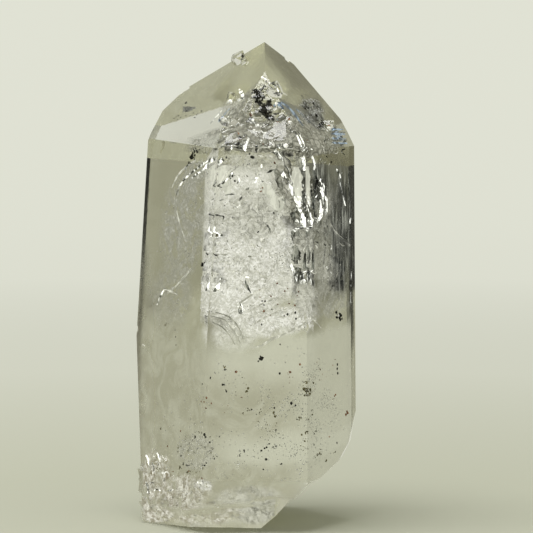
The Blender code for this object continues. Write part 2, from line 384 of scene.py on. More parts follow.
class Grain(Enum):
    """The kinds of matter that lie inside the crystal."""

    BLACK = "black grains"
    RUST = "rust grains"
    OLIVE = "olive grains"
    SNOW = "pale veil flakes"
    GREY = "grey veil flakes"


@dataclass(frozen=True)
class GrainFinish:
    """The finish of one kind of grain: two tones in blotches, and a painted glow in the lighter blotches that
    stands in for the light it catches.
    """

    dark: Colour
    light: Colour
    glow: Colour
    roughness: float = 0.6
    gloss: float = 0.05
    blotch: Mottle = Mottle(1800, 0.35, 0.65)

    def material(self, kind: Grain) -> bpy.types.Material:
        """Builds the material.

        Args:
            kind: The kind of grain, which names it.

        Returns:
            The material.
        """
        material, bench, shader = start_finish(kind.value)
        blotch = bench.mottle(self.blotch)
        bench.fill(shader, Base_Color=bench.mix(blotch, self.dark, self.light),
                   Emission_Color=bench.mix(blotch, NO_LIGHT, self.glow), Emission_Strength=1.0,
                   Roughness=self.roughness, Specular_IOR_Level=self.gloss)
        return material


GRAIN_FINISHES = {
    Grain.BLACK: GrainFinish((0.006, 0.006, 0.005), (0.035, 0.033, 0.022), (0.003, 0.003, 0.002)),
    Grain.RUST: GrainFinish((0.13, 0.055, 0.028), (0.38, 0.19, 0.10), (0.07, 0.033, 0.017)),
    Grain.OLIVE: GrainFinish((0.06, 0.055, 0.022), (0.22, 0.19, 0.09), (0.05, 0.045, 0.02)),
    # The pale flakes glow strongly: a painted glint.
    Grain.SNOW: GrainFinish((0.80, 0.80, 0.72), (0.97, 0.97, 0.93), (0.62, 0.62, 0.55), 0.3, 0.5),
}


class Sheen(Enum):
    """The looks of a crack, all painted light: a painted highlight over a mirror, painted shade in a dark and
    in a dim grey tone, a painted blue gleam, a flat painted reflection and a faint painted glow.
    """

    PAINTED_HIGHLIGHT = "painted highlight crack"
    SHADE = "shaded crack"
    BLUE = "painted blue gleam crack"
    PAINTED_REFLECTION = "painted reflection crack"
    FAINT = "faint crack"
    DUSK = "dusky crack"


@dataclass(frozen=True)
class CrackFinish:
    """The finish of a crack's thin gap, which mirrors like metal, carries a painted glow in bright and dull
    patches, and is worn through in places.
    """

    bright: Colour
    dull: Colour
    glow: Colour
    wear: Span = (0.34, 0.46)
    dull_glow: Colour = NO_LIGHT
    roughness: float = 0.12
    metallic: float = 1.0
    blotch: Mottle = Mottle(1200, 0.44, 0.58, (1.0, 1.0, 0.35), 0.6)
    gap_scale: float = 700.0
    gap_stretch: Colour = (1.0, 1.0, 0.45)
    gap_swirl: float = 0.8

    def material(self, kind: Sheen) -> bpy.types.Material:
        """Builds the material.

        Args:
            kind: The look, which names it.

        Returns:
            The material.
        """
        material, bench, shader = start_finish(kind.value)
        blotch = bench.mottle(self.blotch)
        gaps = bench.mottle(Mottle(self.gap_scale, *self.wear, self.gap_stretch, self.gap_swirl))
        bench.fill(shader, Base_Color=bench.mix(blotch, self.dull, self.bright), Alpha=gaps,
                   Emission_Color=bench.mix(blotch, self.dull_glow, self.glow), Emission_Strength=1.0,
                   Metallic=self.metallic, Roughness=self.roughness)
        return material


@dataclass(frozen=True)
class FlatCrackFinish(CrackFinish):
    """The finish of a crack that lies too flat to mirror anything, and only shows a painted pale glow or dim
    painted shade.
    """

    roughness: float = 0.5
    metallic: float = 0.0


# Painted light in every look: the glow is painted on, the darkest mirror colours are painted shade, and the
# blue tint is a painted gleam.
CRACK_FINISHES = {
    Sheen.PAINTED_HIGHLIGHT: CrackFinish((0.97, 0.97, 0.95), (0.30, 0.31, 0.28), (0.80, 0.81, 0.76)),
    Sheen.SHADE: CrackFinish((0.42, 0.43, 0.40), (0.03, 0.033, 0.03), (0.10, 0.105, 0.09), (0.24, 0.36)),
    Sheen.BLUE: CrackFinish((0.40, 0.46, 0.52), (0.10, 0.13, 0.16), (0.22, 0.28, 0.34), (0.20, 0.34),
                            (0.05, 0.07, 0.09)),
    Sheen.FAINT: FlatCrackFinish((0.30, 0.30, 0.26), (0.20, 0.20, 0.16), (0.60, 0.60, 0.52), (0.20, 0.42),
                                 (0.30, 0.30, 0.25)),
    Sheen.DUSK: FlatCrackFinish((0.20, 0.20, 0.16), (0.10, 0.10, 0.08), (0.33, 0.33, 0.27), (0.20, 0.42),
                                (0.17, 0.17, 0.135)),
    Sheen.PAINTED_REFLECTION: FlatCrackFinish((0.25, 0.25, 0.21), (0.18, 0.18, 0.15), (0.60, 0.605, 0.52), (0.20, 0.40),
                                (0.46, 0.465, 0.39)),
}


class Film(Enum):
    """The kinds of healed crack that show as a mottled sheet, all with a painted glow; the shade kind is a
    sheet of painted shade.
    """

    SNOW = "snowy film"
    GREY = "grey film"
    STREAK = "streaked film"
    SHADE = "painted shade film"
    BUBBLE = "bubbly film"
    CRUST = "crusty film"


@dataclass(frozen=True)
class FilmFinish:
    """The finish of a healed crack: fine bright and dull blotches that are partly see-through, their tone
    also painted on as a glow.
    """

    dull: Colour
    bright: Colour
    fine: Mottle
    least: float = 0.30
    rim: Colour = NO_LIGHT
    bubbles: Bubbles | None = None
    veins: Veins | None = None
    body: float = 0.25
    glow: float = 0.9
    roughness: float = 0.45
    gloss: float = 0.1
    coarser: float = 5.0
    coarse: Span = (0.36, 0.62)

    def material(self, kind: Film) -> bpy.types.Material:
        """Builds the material.

        Args:
            kind: The kind of film, which names it.

        Returns:
            The material.
        """
        material, bench, shader = start_finish(kind.value)
        tone = bench.mix(bench.mottle(self.fine), self.dull, self.bright)
        if self.bubbles:
            tone = bench.mix(self.bubbles.mask(bench), self.rim, tone)
        if self.veins:
            tone = bench.mix(self.veins.mask(bench), tone, self.rim)
        cover = bench.add("ShaderNodeAttribute")
        cover.attribute_name = "cover"
        coarse = replace(self.fine, scale=self.fine.scale / self.coarser, low=self.coarse[0],
                         high=self.coarse[1])
        share = bench.between(bench.mottle(coarse), self.least)
        bench.fill(shader, Base_Color=bench.mix(self.body, NO_LIGHT, tone), Emission_Color=tone,
                   Emission_Strength=self.glow, Roughness=self.roughness, Specular_IOR_Level=self.gloss,
                   Alpha=bench.product(cover.outputs["Fac"], share))
        return material


FILM_FINISHES = {
    Film.SNOW: FilmFinish((0.57, 0.57, 0.48), (0.97, 0.97, 0.90), Mottle(1500, 0.36, 0.70, swirl=1.6), 0.5,
                          rim=(0.36, 0.36, 0.29), veins=Veins(520)),
    Film.GREY: FilmFinish((0.40, 0.40, 0.325), (0.70, 0.70, 0.60), Mottle(1500, 0.36, 0.68, swirl=1.6), 0.4,
                          rim=(0.12, 0.12, 0.09), veins=Veins(420)),
    Film.STREAK: FilmFinish((0.33, 0.33, 0.265), (0.66, 0.66, 0.58), Mottle(1300, 0.46, 0.74, swirl=2.2),
                            0.05),
    Film.SHADE: FilmFinish((0.03, 0.032, 0.028), (0.42, 0.43, 0.37),
                           Mottle(1700, 0.46, 0.70, (1.0, 1.0, 0.14)), 0.1),
    # The bubbly film's dark rims are painted shade round each bubble, and its tone a painted glow.
    Film.BUBBLE: FilmFinish((0.24, 0.235, 0.18), (0.48, 0.475, 0.39), Mottle(1300, 0.38, 0.64, swirl=0.8),
                            rim=(0.10, 0.10, 0.07), bubbles=Bubbles(900)),
    Film.CRUST: FilmFinish((0.25, 0.22, 0.145), (0.90, 0.89, 0.79), Mottle(1450, 0.40, 0.64, swirl=1.0), 0.2),
}


@dataclass(frozen=True)
class PaintedShadePart:
    """Where shade is painted on the cloud and on the foot: their back, towards the left."""

    wander: Mottle = Mottle(130, 0.3, 0.7, swirl=0.8)
    wander_reach: float = 3 * MM
    left: Span = (3 * MM, -8 * MM)
    inner: Span = (-2 * MM, 7 * MM)
    rise: Span = (44 * MM, 33 * MM)

    def share(self, bench: NodeBench, across: Socket, depth: Socket, height: Socket) -> Socket:
        """Builds the mask.

        Args:
            bench: The bench of the material's tree.
            across: The place along X.
            depth: The place along Y.
            height: The place along Z.

        Returns:
            How much painted shade the place gets, from 0 to 1.
        """
        drift = bench.product(bench.mottle(self.wander), self.wander_reach)
        left = bench.smooth(bench.math("ADD", across, drift), *self.left)
        inner = bench.smooth(bench.math("SUBTRACT", depth, drift), *self.inner)
        return bench.product(left, inner, bench.smooth(height, *self.rise))


@dataclass(frozen=True)
class MilkyFinish:
    """The finish of the milky lower half: a soft cloud that fades out upwards, with its tone painted on as a
    glow and painted shade at its back towards the left.
    """

    deep: Colour = (0.39, 0.385, 0.275)
    painted_reflection: Colour = (0.55, 0.555, 0.43)
    # Painted shade: the darker tone at the cloud's back, towards the left.
    painted_shade: Colour = (0.175, 0.168, 0.112)
    body: float = 0.20
    glow: float = 0.95
    wander: Mottle = Mottle(110, 0.2, 0.8)
    wander_reach: float = 3 * MM
    middle: float = 28 * MM
    half_fade: float = 4 * MM
    lift: float = 1.8 * MM
    lift_side: Span = (1 * MM, 6 * MM)
    sharpness: float = 2.2
    back: Span = (1 * MM, 5 * MM)
    back_lift: float = 4.5 * MM
    left_side: Span = (-7 * MM, -12 * MM)
    left_lift: float = 4 * MM
    pale_top: Span = (17 * MM, 13 * MM)
    pale_foot: Span = (8.5 * MM, 11.5 * MM)
    pale_side: Span = (-9 * MM, 0.0)
    right_side: Span = (4 * MM, 10 * MM)
    right_share: float = 0.8
    wisps: Mottle = Mottle(230, 0.38, 0.66, swirl=1.5)
    wisp_share: float = 0.5
    heart_rise: Span = (19 * MM, 25 * MM)
    heart_side: Span = (11 * MM, 6 * MM)
    heart_centre: float = 3 * MM
    grain: Mottle = Mottle(420, 0.3, 0.7)
    thinnest: float = 0.92
    soft_rim: Span = (0.97, 0.62)
    strongest: float = 0.95
    name: str = "milky quartz"

    def material(self) -> bpy.types.Material:
        """Builds the material.

        Returns:
            The material.
        """
        material, bench, shader = start_finish(self.name)
        across, depth, height = bench.place()
        drift = bench.math("MULTIPLY_ADD", bench.mottle(self.wander), self.wander_reach, height)
        rise = bench.math("SUBTRACT", drift, self.wander_reach / 2)
        behind = bench.smooth(depth, *self.back)
        tone = bench.mix(self.pale_share(bench, across, rise, behind), self.deep, self.painted_reflection)
        tone = bench.mix(PaintedShadePart().share(bench, across, depth, height), tone, self.painted_shade)
        facing = bench.add("ShaderNodeLayerWeight", Blend=0.5).outputs["Facing"]
        veil = bench.product(bench.between(bench.mottle(self.grain), self.thinnest),
                             bench.smooth(facing, *self.soft_rim))
        bench.fill(shader, Base_Color=bench.mix(self.body, NO_LIGHT, tone), Emission_Color=tone,
                   Emission_Strength=self.glow, Roughness=0.9, Specular_IOR_Level=0.0,
                   Alpha=bench.product(self.density(bench, across, rise, behind), veil, self.strongest))
        return material

    def density(self, bench: NodeBench, across: Socket, rise: Socket, behind: Socket) -> Socket:
        """How dense the cloud is: full at its foot, and gone above an uneven edge.

        Args:
            bench: The bench of the material's tree.
            across: The place along X.
            rise: The height, which wanders a little.
            behind: A mask of the back.

        Returns:
            The density, from 0 to 1.
        """
        side = bench.smooth(across, *self.lift_side)
        edge = bench.math("MULTIPLY_ADD", side, self.lift, self.middle)
        edge = bench.math("MULTIPLY_ADD", behind, self.back_lift, edge)
        edge = bench.math("MULTIPLY_ADD", bench.smooth(across, *self.left_side), self.left_lift, edge)
        above = bench.math("SUBTRACT", rise, edge)
        sharp = bench.math("MULTIPLY_ADD", side, self.sharpness, 1.0)
        return bench.smooth(bench.product(above, sharp), self.half_fade, -self.half_fade)

    def pale_share(self, bench: NodeBench, across: Socket, rise: Socket, behind: Socket) -> Socket:
        """How pale the cloud's tone and painted glow are: in a low band, on the right, in wisps and at its
        heart.

        Args:
            bench: The bench of the material's tree.
            across: The place along X.
            rise: The height, which wanders a little.
            behind: A mask of the back.

        Returns:
            The share, from 0 to 1.
        """
        band = bench.product(bench.smooth(rise, *self.pale_top), bench.smooth(rise, *self.pale_foot))
        low = bench.product(band, bench.smooth(across, *self.pale_side))
        front = bench.math("SUBTRACT", 1.0, behind)
        right = bench.product(bench.smooth(across, *self.right_side), bench.product(front, self.right_share))
        wisps = bench.product(bench.mottle(self.wisps), self.wisp_share)
        aside = bench.math("ABSOLUTE", bench.math("SUBTRACT", across, self.heart_centre))
        heart = bench.product(bench.smooth(rise, *self.heart_rise), bench.smooth(aside, *self.heart_side),
                              front)
        return bench.math("MAXIMUM", bench.math("MAXIMUM", low, right), bench.math("MAXIMUM", wisps, heart))


@dataclass(frozen=True)
class FootFrost:
    """The finish of the crushed layer over the foot: chalky, with a painted glow, and darker at the back
    towards the left, where shade is painted.
    """

    painted_reflection: Colour = (0.60, 0.595, 0.47)
    deep: Colour = (0.22, 0.21, 0.15)
    pale_glow: Colour = (0.30, 0.30, 0.23)
    deep_glow: Colour = (0.11, 0.105, 0.07)
    cloud: Mottle = Mottle(420, 0.3, 0.7)
    thinnest_cloud: float = 0.65
    chalk: Mottle = Mottle(520, 0.3, 0.6)
    chalk_cover: Span = (0.6, 0.95)
    name: str = "foot frost"

    def material(self) -> bpy.types.Material:
        """Builds the material.

        Returns:
            The material.
        """
        material, bench, shader = start_finish(self.name)
        # The frost is pale away from the painted shade and takes the deep tone under it.
        side = bench.math("SUBTRACT", 1.0, PaintedShadePart().share(bench, *bench.place()))
        share = bench.product(side, bench.between(bench.mottle(self.cloud), self.thinnest_cloud))
        bench.fill(shader, Base_Color=bench.mix(share, self.deep, self.painted_reflection),
                   Emission_Color=bench.mix(share, self.deep_glow, self.pale_glow), Emission_Strength=1.0,
                   Roughness=0.85, Alpha=bench.between(bench.mottle(self.chalk), *self.chalk_cover))
        return material


@dataclass(frozen=True)
class PaleStage:
    """The finish of the floor and its backdrop: pale, with a painted glow that grows brighter with distance.
    """

    colour: Colour = (0.405, 0.41, 0.335)
    near: tuple[float, Colour] = (0.06, (0.03, 0.03, 0.022))
    fore: tuple[float, Colour] = (0.22, (0.363, 0.368, 0.322))
    middle: tuple[float, Colour] = (0.45, (0.715, 0.725, 0.625))
    bend: tuple[float, Colour] = (0.85, (0.75, 0.76, 0.66))
    far: tuple[float, Colour] = (1.0, (0.89, 0.90, 0.805))
    name: str = "pale stage"

    def material(self) -> bpy.types.Material:
        """Builds the material, whose painted glow is given for some distances in metres.

        Returns:
            The material.
        """
        material, bench, shader = start_finish(self.name)
        reach = bench.add("ShaderNodeVectorMath")
        reach.operation = "LENGTH"
        bench.feed(reach.inputs[0], bench.spot())
        spread = reach.outputs["Value"]
        glow = bench.ramp(spread, [(0.0, NO_LIGHT), self.near, self.fore, self.middle, self.bend, self.far])
        chalk = bench.ramp(spread, [
            (0.0, self.colour), (self.near[0], self.colour), (self.middle[0], NO_LIGHT),
        ])
        bench.fill(shader, Base_Color=chalk, Emission_Color=glow, Emission_Strength=1.0, Roughness=0.9,
                   Specular_IOR_Level=0.0)
        return material


@dataclass(frozen=True)
class Surroundings:
    """What the crystal sees around it: a lit panel behind it and a dim room at its sides.

    Each band goes round by compass direction, in degrees to the right of straight back.
    """

    panel: Colour = (0.69, 0.69, 0.60)
    dim: Colour = (0.36, 0.355, 0.25)
    dark: Colour = (0.022, 0.022, 0.018)
    shade: Colour = (0.17, 0.17, 0.125)
    room: Colour = (0.30, 0.30, 0.24)
    sky: Colour = (0.55, 0.56, 0.50)
    floor: Colour = (0.66, 0.665, 0.58)
    low_edge: Span = (-34.0, -20.0)
    high_edge: Span = (18.0, 40.0)

    def level_band(self) -> list[tuple[float, Colour]]:
        """The stops of the band at eye level."""
        return [
            (-180, self.room), (-120, self.shade), (-72, self.dark), (-58, self.dark), (-50, self.shade),
            (-38, self.shade), (-31, self.panel), (31, self.panel), (38, self.dim), (47, self.dim),
            (52, self.dark), (66, self.dark), (90, self.shade), (130, self.room), (180, self.room),
        ]

    def low_band(self) -> list[tuple[float, Colour]]:
        """The stops of the band below eye level."""
        return [
            (-180, self.dim), (-110, self.dim), (-60, self.shade), (-36, self.shade), (-24, self.floor),
            (60, self.floor), (100, self.dim), (180, self.dim),
        ]

    def build(self) -> None:
        """Makes the world."""
        world = bpy.data.worlds.new("studio")
        bpy.context.scene.world = world
        world.use_nodes = True
        bench = NodeBench(world.node_tree)
        way = bench.add("ShaderNodeTexCoord").outputs["Generated"]
        right, back, up = bench.add("ShaderNodeSeparateXYZ", Vector=way).outputs
        around = bench.math("MULTIPLY_ADD", bench.math("ARCTAN2", right, back), 1 / (2 * math.pi), 0.5)
        lift = bench.product(bench.math("ARCSINE", up), 180 / math.pi)
        level, low = (bench.ramp(around, [(turn / 360 + 0.5, colour) for turn, colour in band])
                      for band in (self.level_band(), self.low_band()))
        lower = bench.mix(bench.smooth(lift, *self.low_edge), low, level)
        whole = bench.mix(bench.smooth(lift, *self.high_edge), lower, self.sky)
        bench.fill(world.node_tree.nodes["Background"], Color=whole)


@dataclass
class PhotoView:
    """The camera, and the way from a point of its picture to a point in the crystal."""

    scale: float = 0.15 * MM
    frame: float = 533.0
    centre_x: float = 266.5
    centre_y: float = 266.5
    axis_x: float = 245.5
    ground_y: float = 522.0
    distance: float = 0.65
    elevation: float = math.radians(4.5)
    sensor: float = 36.0
    nearest: float = 0.01
    skin: float = 0.01 * MM
    deepest_share: float = 0.85
    crystal: BVHTree | None = None

    def target(self) -> Vector:
        """The point at the middle of the picture."""
        across, up = self.centre_x - self.axis_x, self.ground_y - self.centre_y
        return Vector((across * self.scale, 0, up * self.scale))

    def forward(self) -> Vector:
        """The direction that the camera looks in."""
        return Vector((0, math.cos(self.elevation), -math.sin(self.elevation)))

    def upward(self) -> Vector:
        """The direction that is up in the picture."""
        return Vector((0, math.sin(self.elevation), math.cos(self.elevation)))

    def build_camera(self) -> None:
        """Adds the camera and makes it the scene's."""
        lens = bpy.data.cameras.new("photo camera")
        lens.sensor_width = self.sensor
        lens.lens = self.sensor * self.distance / (self.frame * self.scale)
        lens.clip_start = self.nearest
        camera = placed("photo camera", lens)
        camera.location = self.target() - self.forward() * self.distance
        camera.rotation_euler = (math.pi / 2 - self.elevation, 0, 0)
        bpy.context.scene.camera = camera

    def ray(self, x: float, y: float) -> tuple[Vector, Vector]:
        """The sight line through a point of the picture.

        Args:
            x: The point's place across the picture.
            y: Its place down the picture.

        Returns:
            The camera's place and the line's direction.
        """
        across = Vector((1, 0, 0)) * ((x - self.centre_x) * self.scale)
        down = self.upward() * ((y - self.centre_y) * self.scale)
        aim = self.forward() * self.distance + across - down
        return self.target() - self.forward() * self.distance, aim.normalized()

    def inside(self, x: float, y: float, depth: float) -> Vector | None:
        """The point in the crystal that shows at a point of the picture.

        Args:
            x: The point's place across the picture.
            y: Its place down the picture.
            depth: How far it lies behind the surface, along the bent sight line.

        Returns:
            The point, or None beside the crystal.
        """
        eye, aim = self.ray(x, y)
        place, normal = self.crystal.ray_cast(eye, aim)[:2]
        if place is None:
            return None
        share = 1 / QUARTZ_IOR
        facing = -normal.dot(aim)
        bent = aim * share + normal * (share * facing - math.sqrt(1 - share * share * (1 - facing * facing)))
        exit_reach = self.crystal.ray_cast(place + bent * self.skin, bent)[3]
        if exit_reach is None:
            return None
        return place + bent * min(depth, exit_reach * self.deepest_share)


def placed(name: str, data: bpy.types.ID) -> bpy.types.Object:
    """Puts an object into the scene, at the origin.

    Args:
        name: Its name.
        data: Its mesh, lamp or lens.

    Returns:
        The object.
    """
    item = bpy.data.objects.new(name, data)
    bpy.context.scene.collection.objects.link(item)
    return item


def kept_mesh(bm: bmesh.types.BMesh, name: str, *finishes: bpy.types.Material) -> bpy.types.Mesh:
    """Turns an edited mesh into a plain one.

    Args:
        bm: The edited mesh, which is let go.
        name: The plain mesh's name.
        finishes: Its materials.

    Returns:
        The plain mesh.
    """
    mesh = bpy.data.meshes.new(name)
    bm.to_mesh(mesh)
    bm.free()
    for finish in finishes:
        mesh.materials.append(finish)
    return mesh


def dress(name: str, mesh: bpy.types.Mesh) -> bpy.types.Object:
    """Turns a finished mesh into a piece that goes with the crystal.

    Args:
        name: The piece's name.
        mesh: Its mesh, in the crystal's own frame.

    Returns:
        The piece.
    """
    mesh.name = name
    piece = placed(name, mesh)
    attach(piece, BODY)
    LOG.info("%s: %d faces", name, len(mesh.polygons))
    return piece


@dataclass
class CrystalBody:
    """The clear body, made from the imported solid."""

    source: bpy.types.Object
    merge_distance: float = 1e-6
    sharpest: float = math.radians(24)

    def build(self) -> bpy.types.Object:
        """Makes the body.

        Returns:
            The body's object.
        """
        bm = bmesh.new()
        bm.from_mesh(self.source.data)
        bmesh.ops.remove_doubles(bm, verts=bm.verts[:], dist=self.merge_distance)
        for face in bm.faces:
            face.smooth = True
        for edge in bm.edges:
            edge.smooth = edge.is_manifold and edge.calc_face_angle(0) < self.sharpest
        body = dress("quartz_body", kept_mesh(bm, "quartz_body", ClearQuartz().material()))
        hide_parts(CRYSTAL_NODE)
        return body

    def shape(self, body: bpy.types.Object) -> BVHTree:
        """The body's surface, for sight lines to meet.

        Args:
            body: The body's object.

        Returns:
            The tree of its faces.
        """
        bm = bmesh.new()
        bm.from_mesh(body.data)
        surface = BVHTree.FromBMesh(bm)
        bm.free()
        return surface


class Draw(Enum):
    """The random draws of a grain, each by what it adds to the seed."""

    SIZE = 0.0
    LEAN_X = 3.0
    LEAN_Y = 5.0
    WIDTH = 7.0
    SPIN = 9.0
    DEPTH = 11.0


@dataclass
class GrainTree:
    """The geometry tree that sets small lumps at points, or spreads them over a sheet."""

    spread: bool
    uneven: Span = (0.7, 1.3)
    ragged_scale: float = 2600.0
    patch_fade: Span = (-0.05, 0.08)

    def build(self) -> bpy.types.NodeTree:
        """Makes the tree.

        Returns:
            The geometry tree.
        """
        name = "flakes over a veil" if self.spread else "grains at points"
        tree = bpy.data.node_groups.new(name, "GeometryNodeTree")
        tree.interface.new_socket("Result", in_out="OUTPUT", socket_type="NodeSocketGeometry")
        tree.interface.new_socket("Carrier", in_out="INPUT", socket_type="NodeSocketGeometry")
        for label in ("Density", "Smallest", "Largest", "Flatness", "Lean", "Ragged", "Patch Scale",
                      "Patch Edge"):
            tree.interface.new_socket(label, in_out="INPUT", socket_type="NodeSocketFloat")
        tree.interface.new_socket("Seed", in_out="INPUT", socket_type="NodeSocketInt")
        tree.interface.new_socket("Finish", in_out="INPUT", socket_type="NodeSocketMaterial")
        bench = NodeBench(tree)
        given = bench.add("NodeGroupInput").outputs
        if self.spread:
            points, turn = self.scatter(bench, given)
            size = self.random(bench, given["Smallest"], given["Largest"], given["Seed"], Draw.SIZE)
        else:
            points = given["Carrier"]
            turn = self.random_turn(bench, given["Seed"], math.pi)
            size = self.attribute(bench, "size")
        wide = bench.product(size, self.random(bench, *self.uneven, given["Seed"], Draw.WIDTH))
        deep = bench.product(size, self.random(bench, *self.uneven, given["Seed"], Draw.DEPTH))
        shape = bench.add("ShaderNodeCombineXYZ", X=wide, Y=deep, Z=bench.product(size, given["Flatness"]))
        lump = bench.add("GeometryNodeMeshIcoSphere", Radius=1.0, Subdivisions=1)
        lumps = bench.add("GeometryNodeInstanceOnPoints", Points=points, Instance=lump.outputs[0],
                          Rotation=turn, Scale=shape.outputs[0])
        solid = bench.add("GeometryNodeRealizeInstances", Geometry=lumps.outputs[0])
        ragged = bench.add("GeometryNodeSetPosition", Geometry=solid.outputs[0],
                           Offset=self.push(bench, given["Ragged"]))
        dressed = bench.add("GeometryNodeSetMaterial", Geometry=ragged.outputs[0], Material=given["Finish"])
        bench.add("NodeGroupOutput", Result=dressed.outputs[0])
        return tree

    def push(self, bench: NodeBench, reach: Socket) -> Socket:
        """An uneven push that makes a lump ragged.

        Args:
            bench: The tree's bench.
            reach: How far it pushes.

        Returns:
            The push.
        """
        noisy = bench.add("ShaderNodeTexNoise", Scale=self.ragged_scale, Detail=1.0)
        centred = bench.add("ShaderNodeVectorMath")
        centred.operation = "SUBTRACT"
        bench.feed(centred.inputs[0], noisy.outputs["Color"])
        bench.feed(centred.inputs[1], (0.5, 0.5, 0.5))
        pushed = bench.add("ShaderNodeVectorMath")
        pushed.operation = "SCALE"
        bench.feed(pushed.inputs[0], centred.outputs[0])
        bench.fill(pushed, Scale=reach)
        return pushed.outputs[0]

    def scatter(self, bench: NodeBench, given: bpy.types.bpy_prop_collection) -> tuple[Socket, Socket]:
        """Spreads points over the sheet where its cover and its patches allow.

        Args:
            bench: The tree's bench.
            given: The tree's inputs.

        Returns:
            The points and each point's turn.
        """
        patches = bench.add("ShaderNodeTexNoise", Scale=given["Patch Scale"], Detail=3.0)
        above = bench.math("SUBTRACT", patches.outputs[0], given["Patch Edge"])
        density = bench.product(given["Density"], bench.smooth(above, *self.patch_fade),
                                self.attribute(bench, "cover"))
        points = bench.add("GeometryNodeDistributePointsOnFaces", Mesh=given["Carrier"], Density=density,
                           Seed=given["Seed"])
        turned = bench.add("FunctionNodeRotateRotation", Rotation=points.outputs["Rotation"])
        turned.rotation_space = "LOCAL"
        bench.fill(turned, Rotate_By=self.random_turn(bench, given["Seed"], given["Lean"]))
        return points.outputs["Points"], turned.outputs[0]

    def attribute(self, bench: NodeBench, label: str) -> Socket:
        """A number that the carrier's mesh stores."""
        node = bench.add("GeometryNodeInputNamedAttribute", Name=label)
        node.data_type = "FLOAT"
        return node.outputs["Attribute"]

    def random(self, bench: NodeBench, low: object, high: object, seed: Socket, draw: Draw) -> Socket:
        """A random number for each point.

        Args:
            bench: The tree's bench.
            low: The lowest value.
            high: The highest value.
            seed: The seed.
            draw: What the number is for.

        Returns:
            The number.
        """
        node = bench.add("FunctionNodeRandomValue")
        node.data_type = "FLOAT"
        inputs = [socket for socket in node.inputs if socket.enabled]
        bench.feed(inputs[0], low)
        bench.feed(inputs[1], high)
        bench.fill(node, Seed=bench.math("ADD", seed, draw.value))
        return next(socket for socket in node.outputs if socket.enabled)

    def random_turn(self, bench: NodeBench, seed: Socket, most: object) -> Socket:
        """A random turn for each point, free about its own axis.

        Args:
            bench: The tree's bench.
            seed: The seed.
            most: The largest lean, in radians.

        Returns:
            The turn.
        """
        least = bench.product(most, -1.0)
        lean_x = self.random(bench, least, most, seed, Draw.LEAN_X)
        lean_y = self.random(bench, least, most, seed, Draw.LEAN_Y)
        spin = self.random(bench, -math.pi, math.pi, seed, Draw.SPIN)
        return bench.add("ShaderNodeCombineXYZ", X=lean_x, Y=lean_y, Z=spin).outputs[0]


def grow(tree: bpy.types.NodeTree, carrier: bpy.types.Mesh, values: dict[str, object]) -> bpy.types.Mesh:
    """Runs a grain tree on a carrier mesh and keeps the result as a plain mesh.

    Args:
        tree: The geometry tree.
        carrier: The points or the sheet.
        values: The value of each named input.

    Returns:
        The mesh of all lumps.
    """
    holder = placed("carrier", carrier)
    modifier = holder.modifiers.new("grains", "NODES")
    modifier.node_group = tree
    for item in tree.interface.items_tree:
        if item.item_type == "SOCKET" and item.in_out == "INPUT" and item.name in values:
            modifier[item.identifier] = values[item.name]
    mesh = bpy.data.meshes.new_from_object(holder.evaluated_get(bpy.context.evaluated_depsgraph_get()))
    bpy.data.objects.remove(holder)
    return mesh


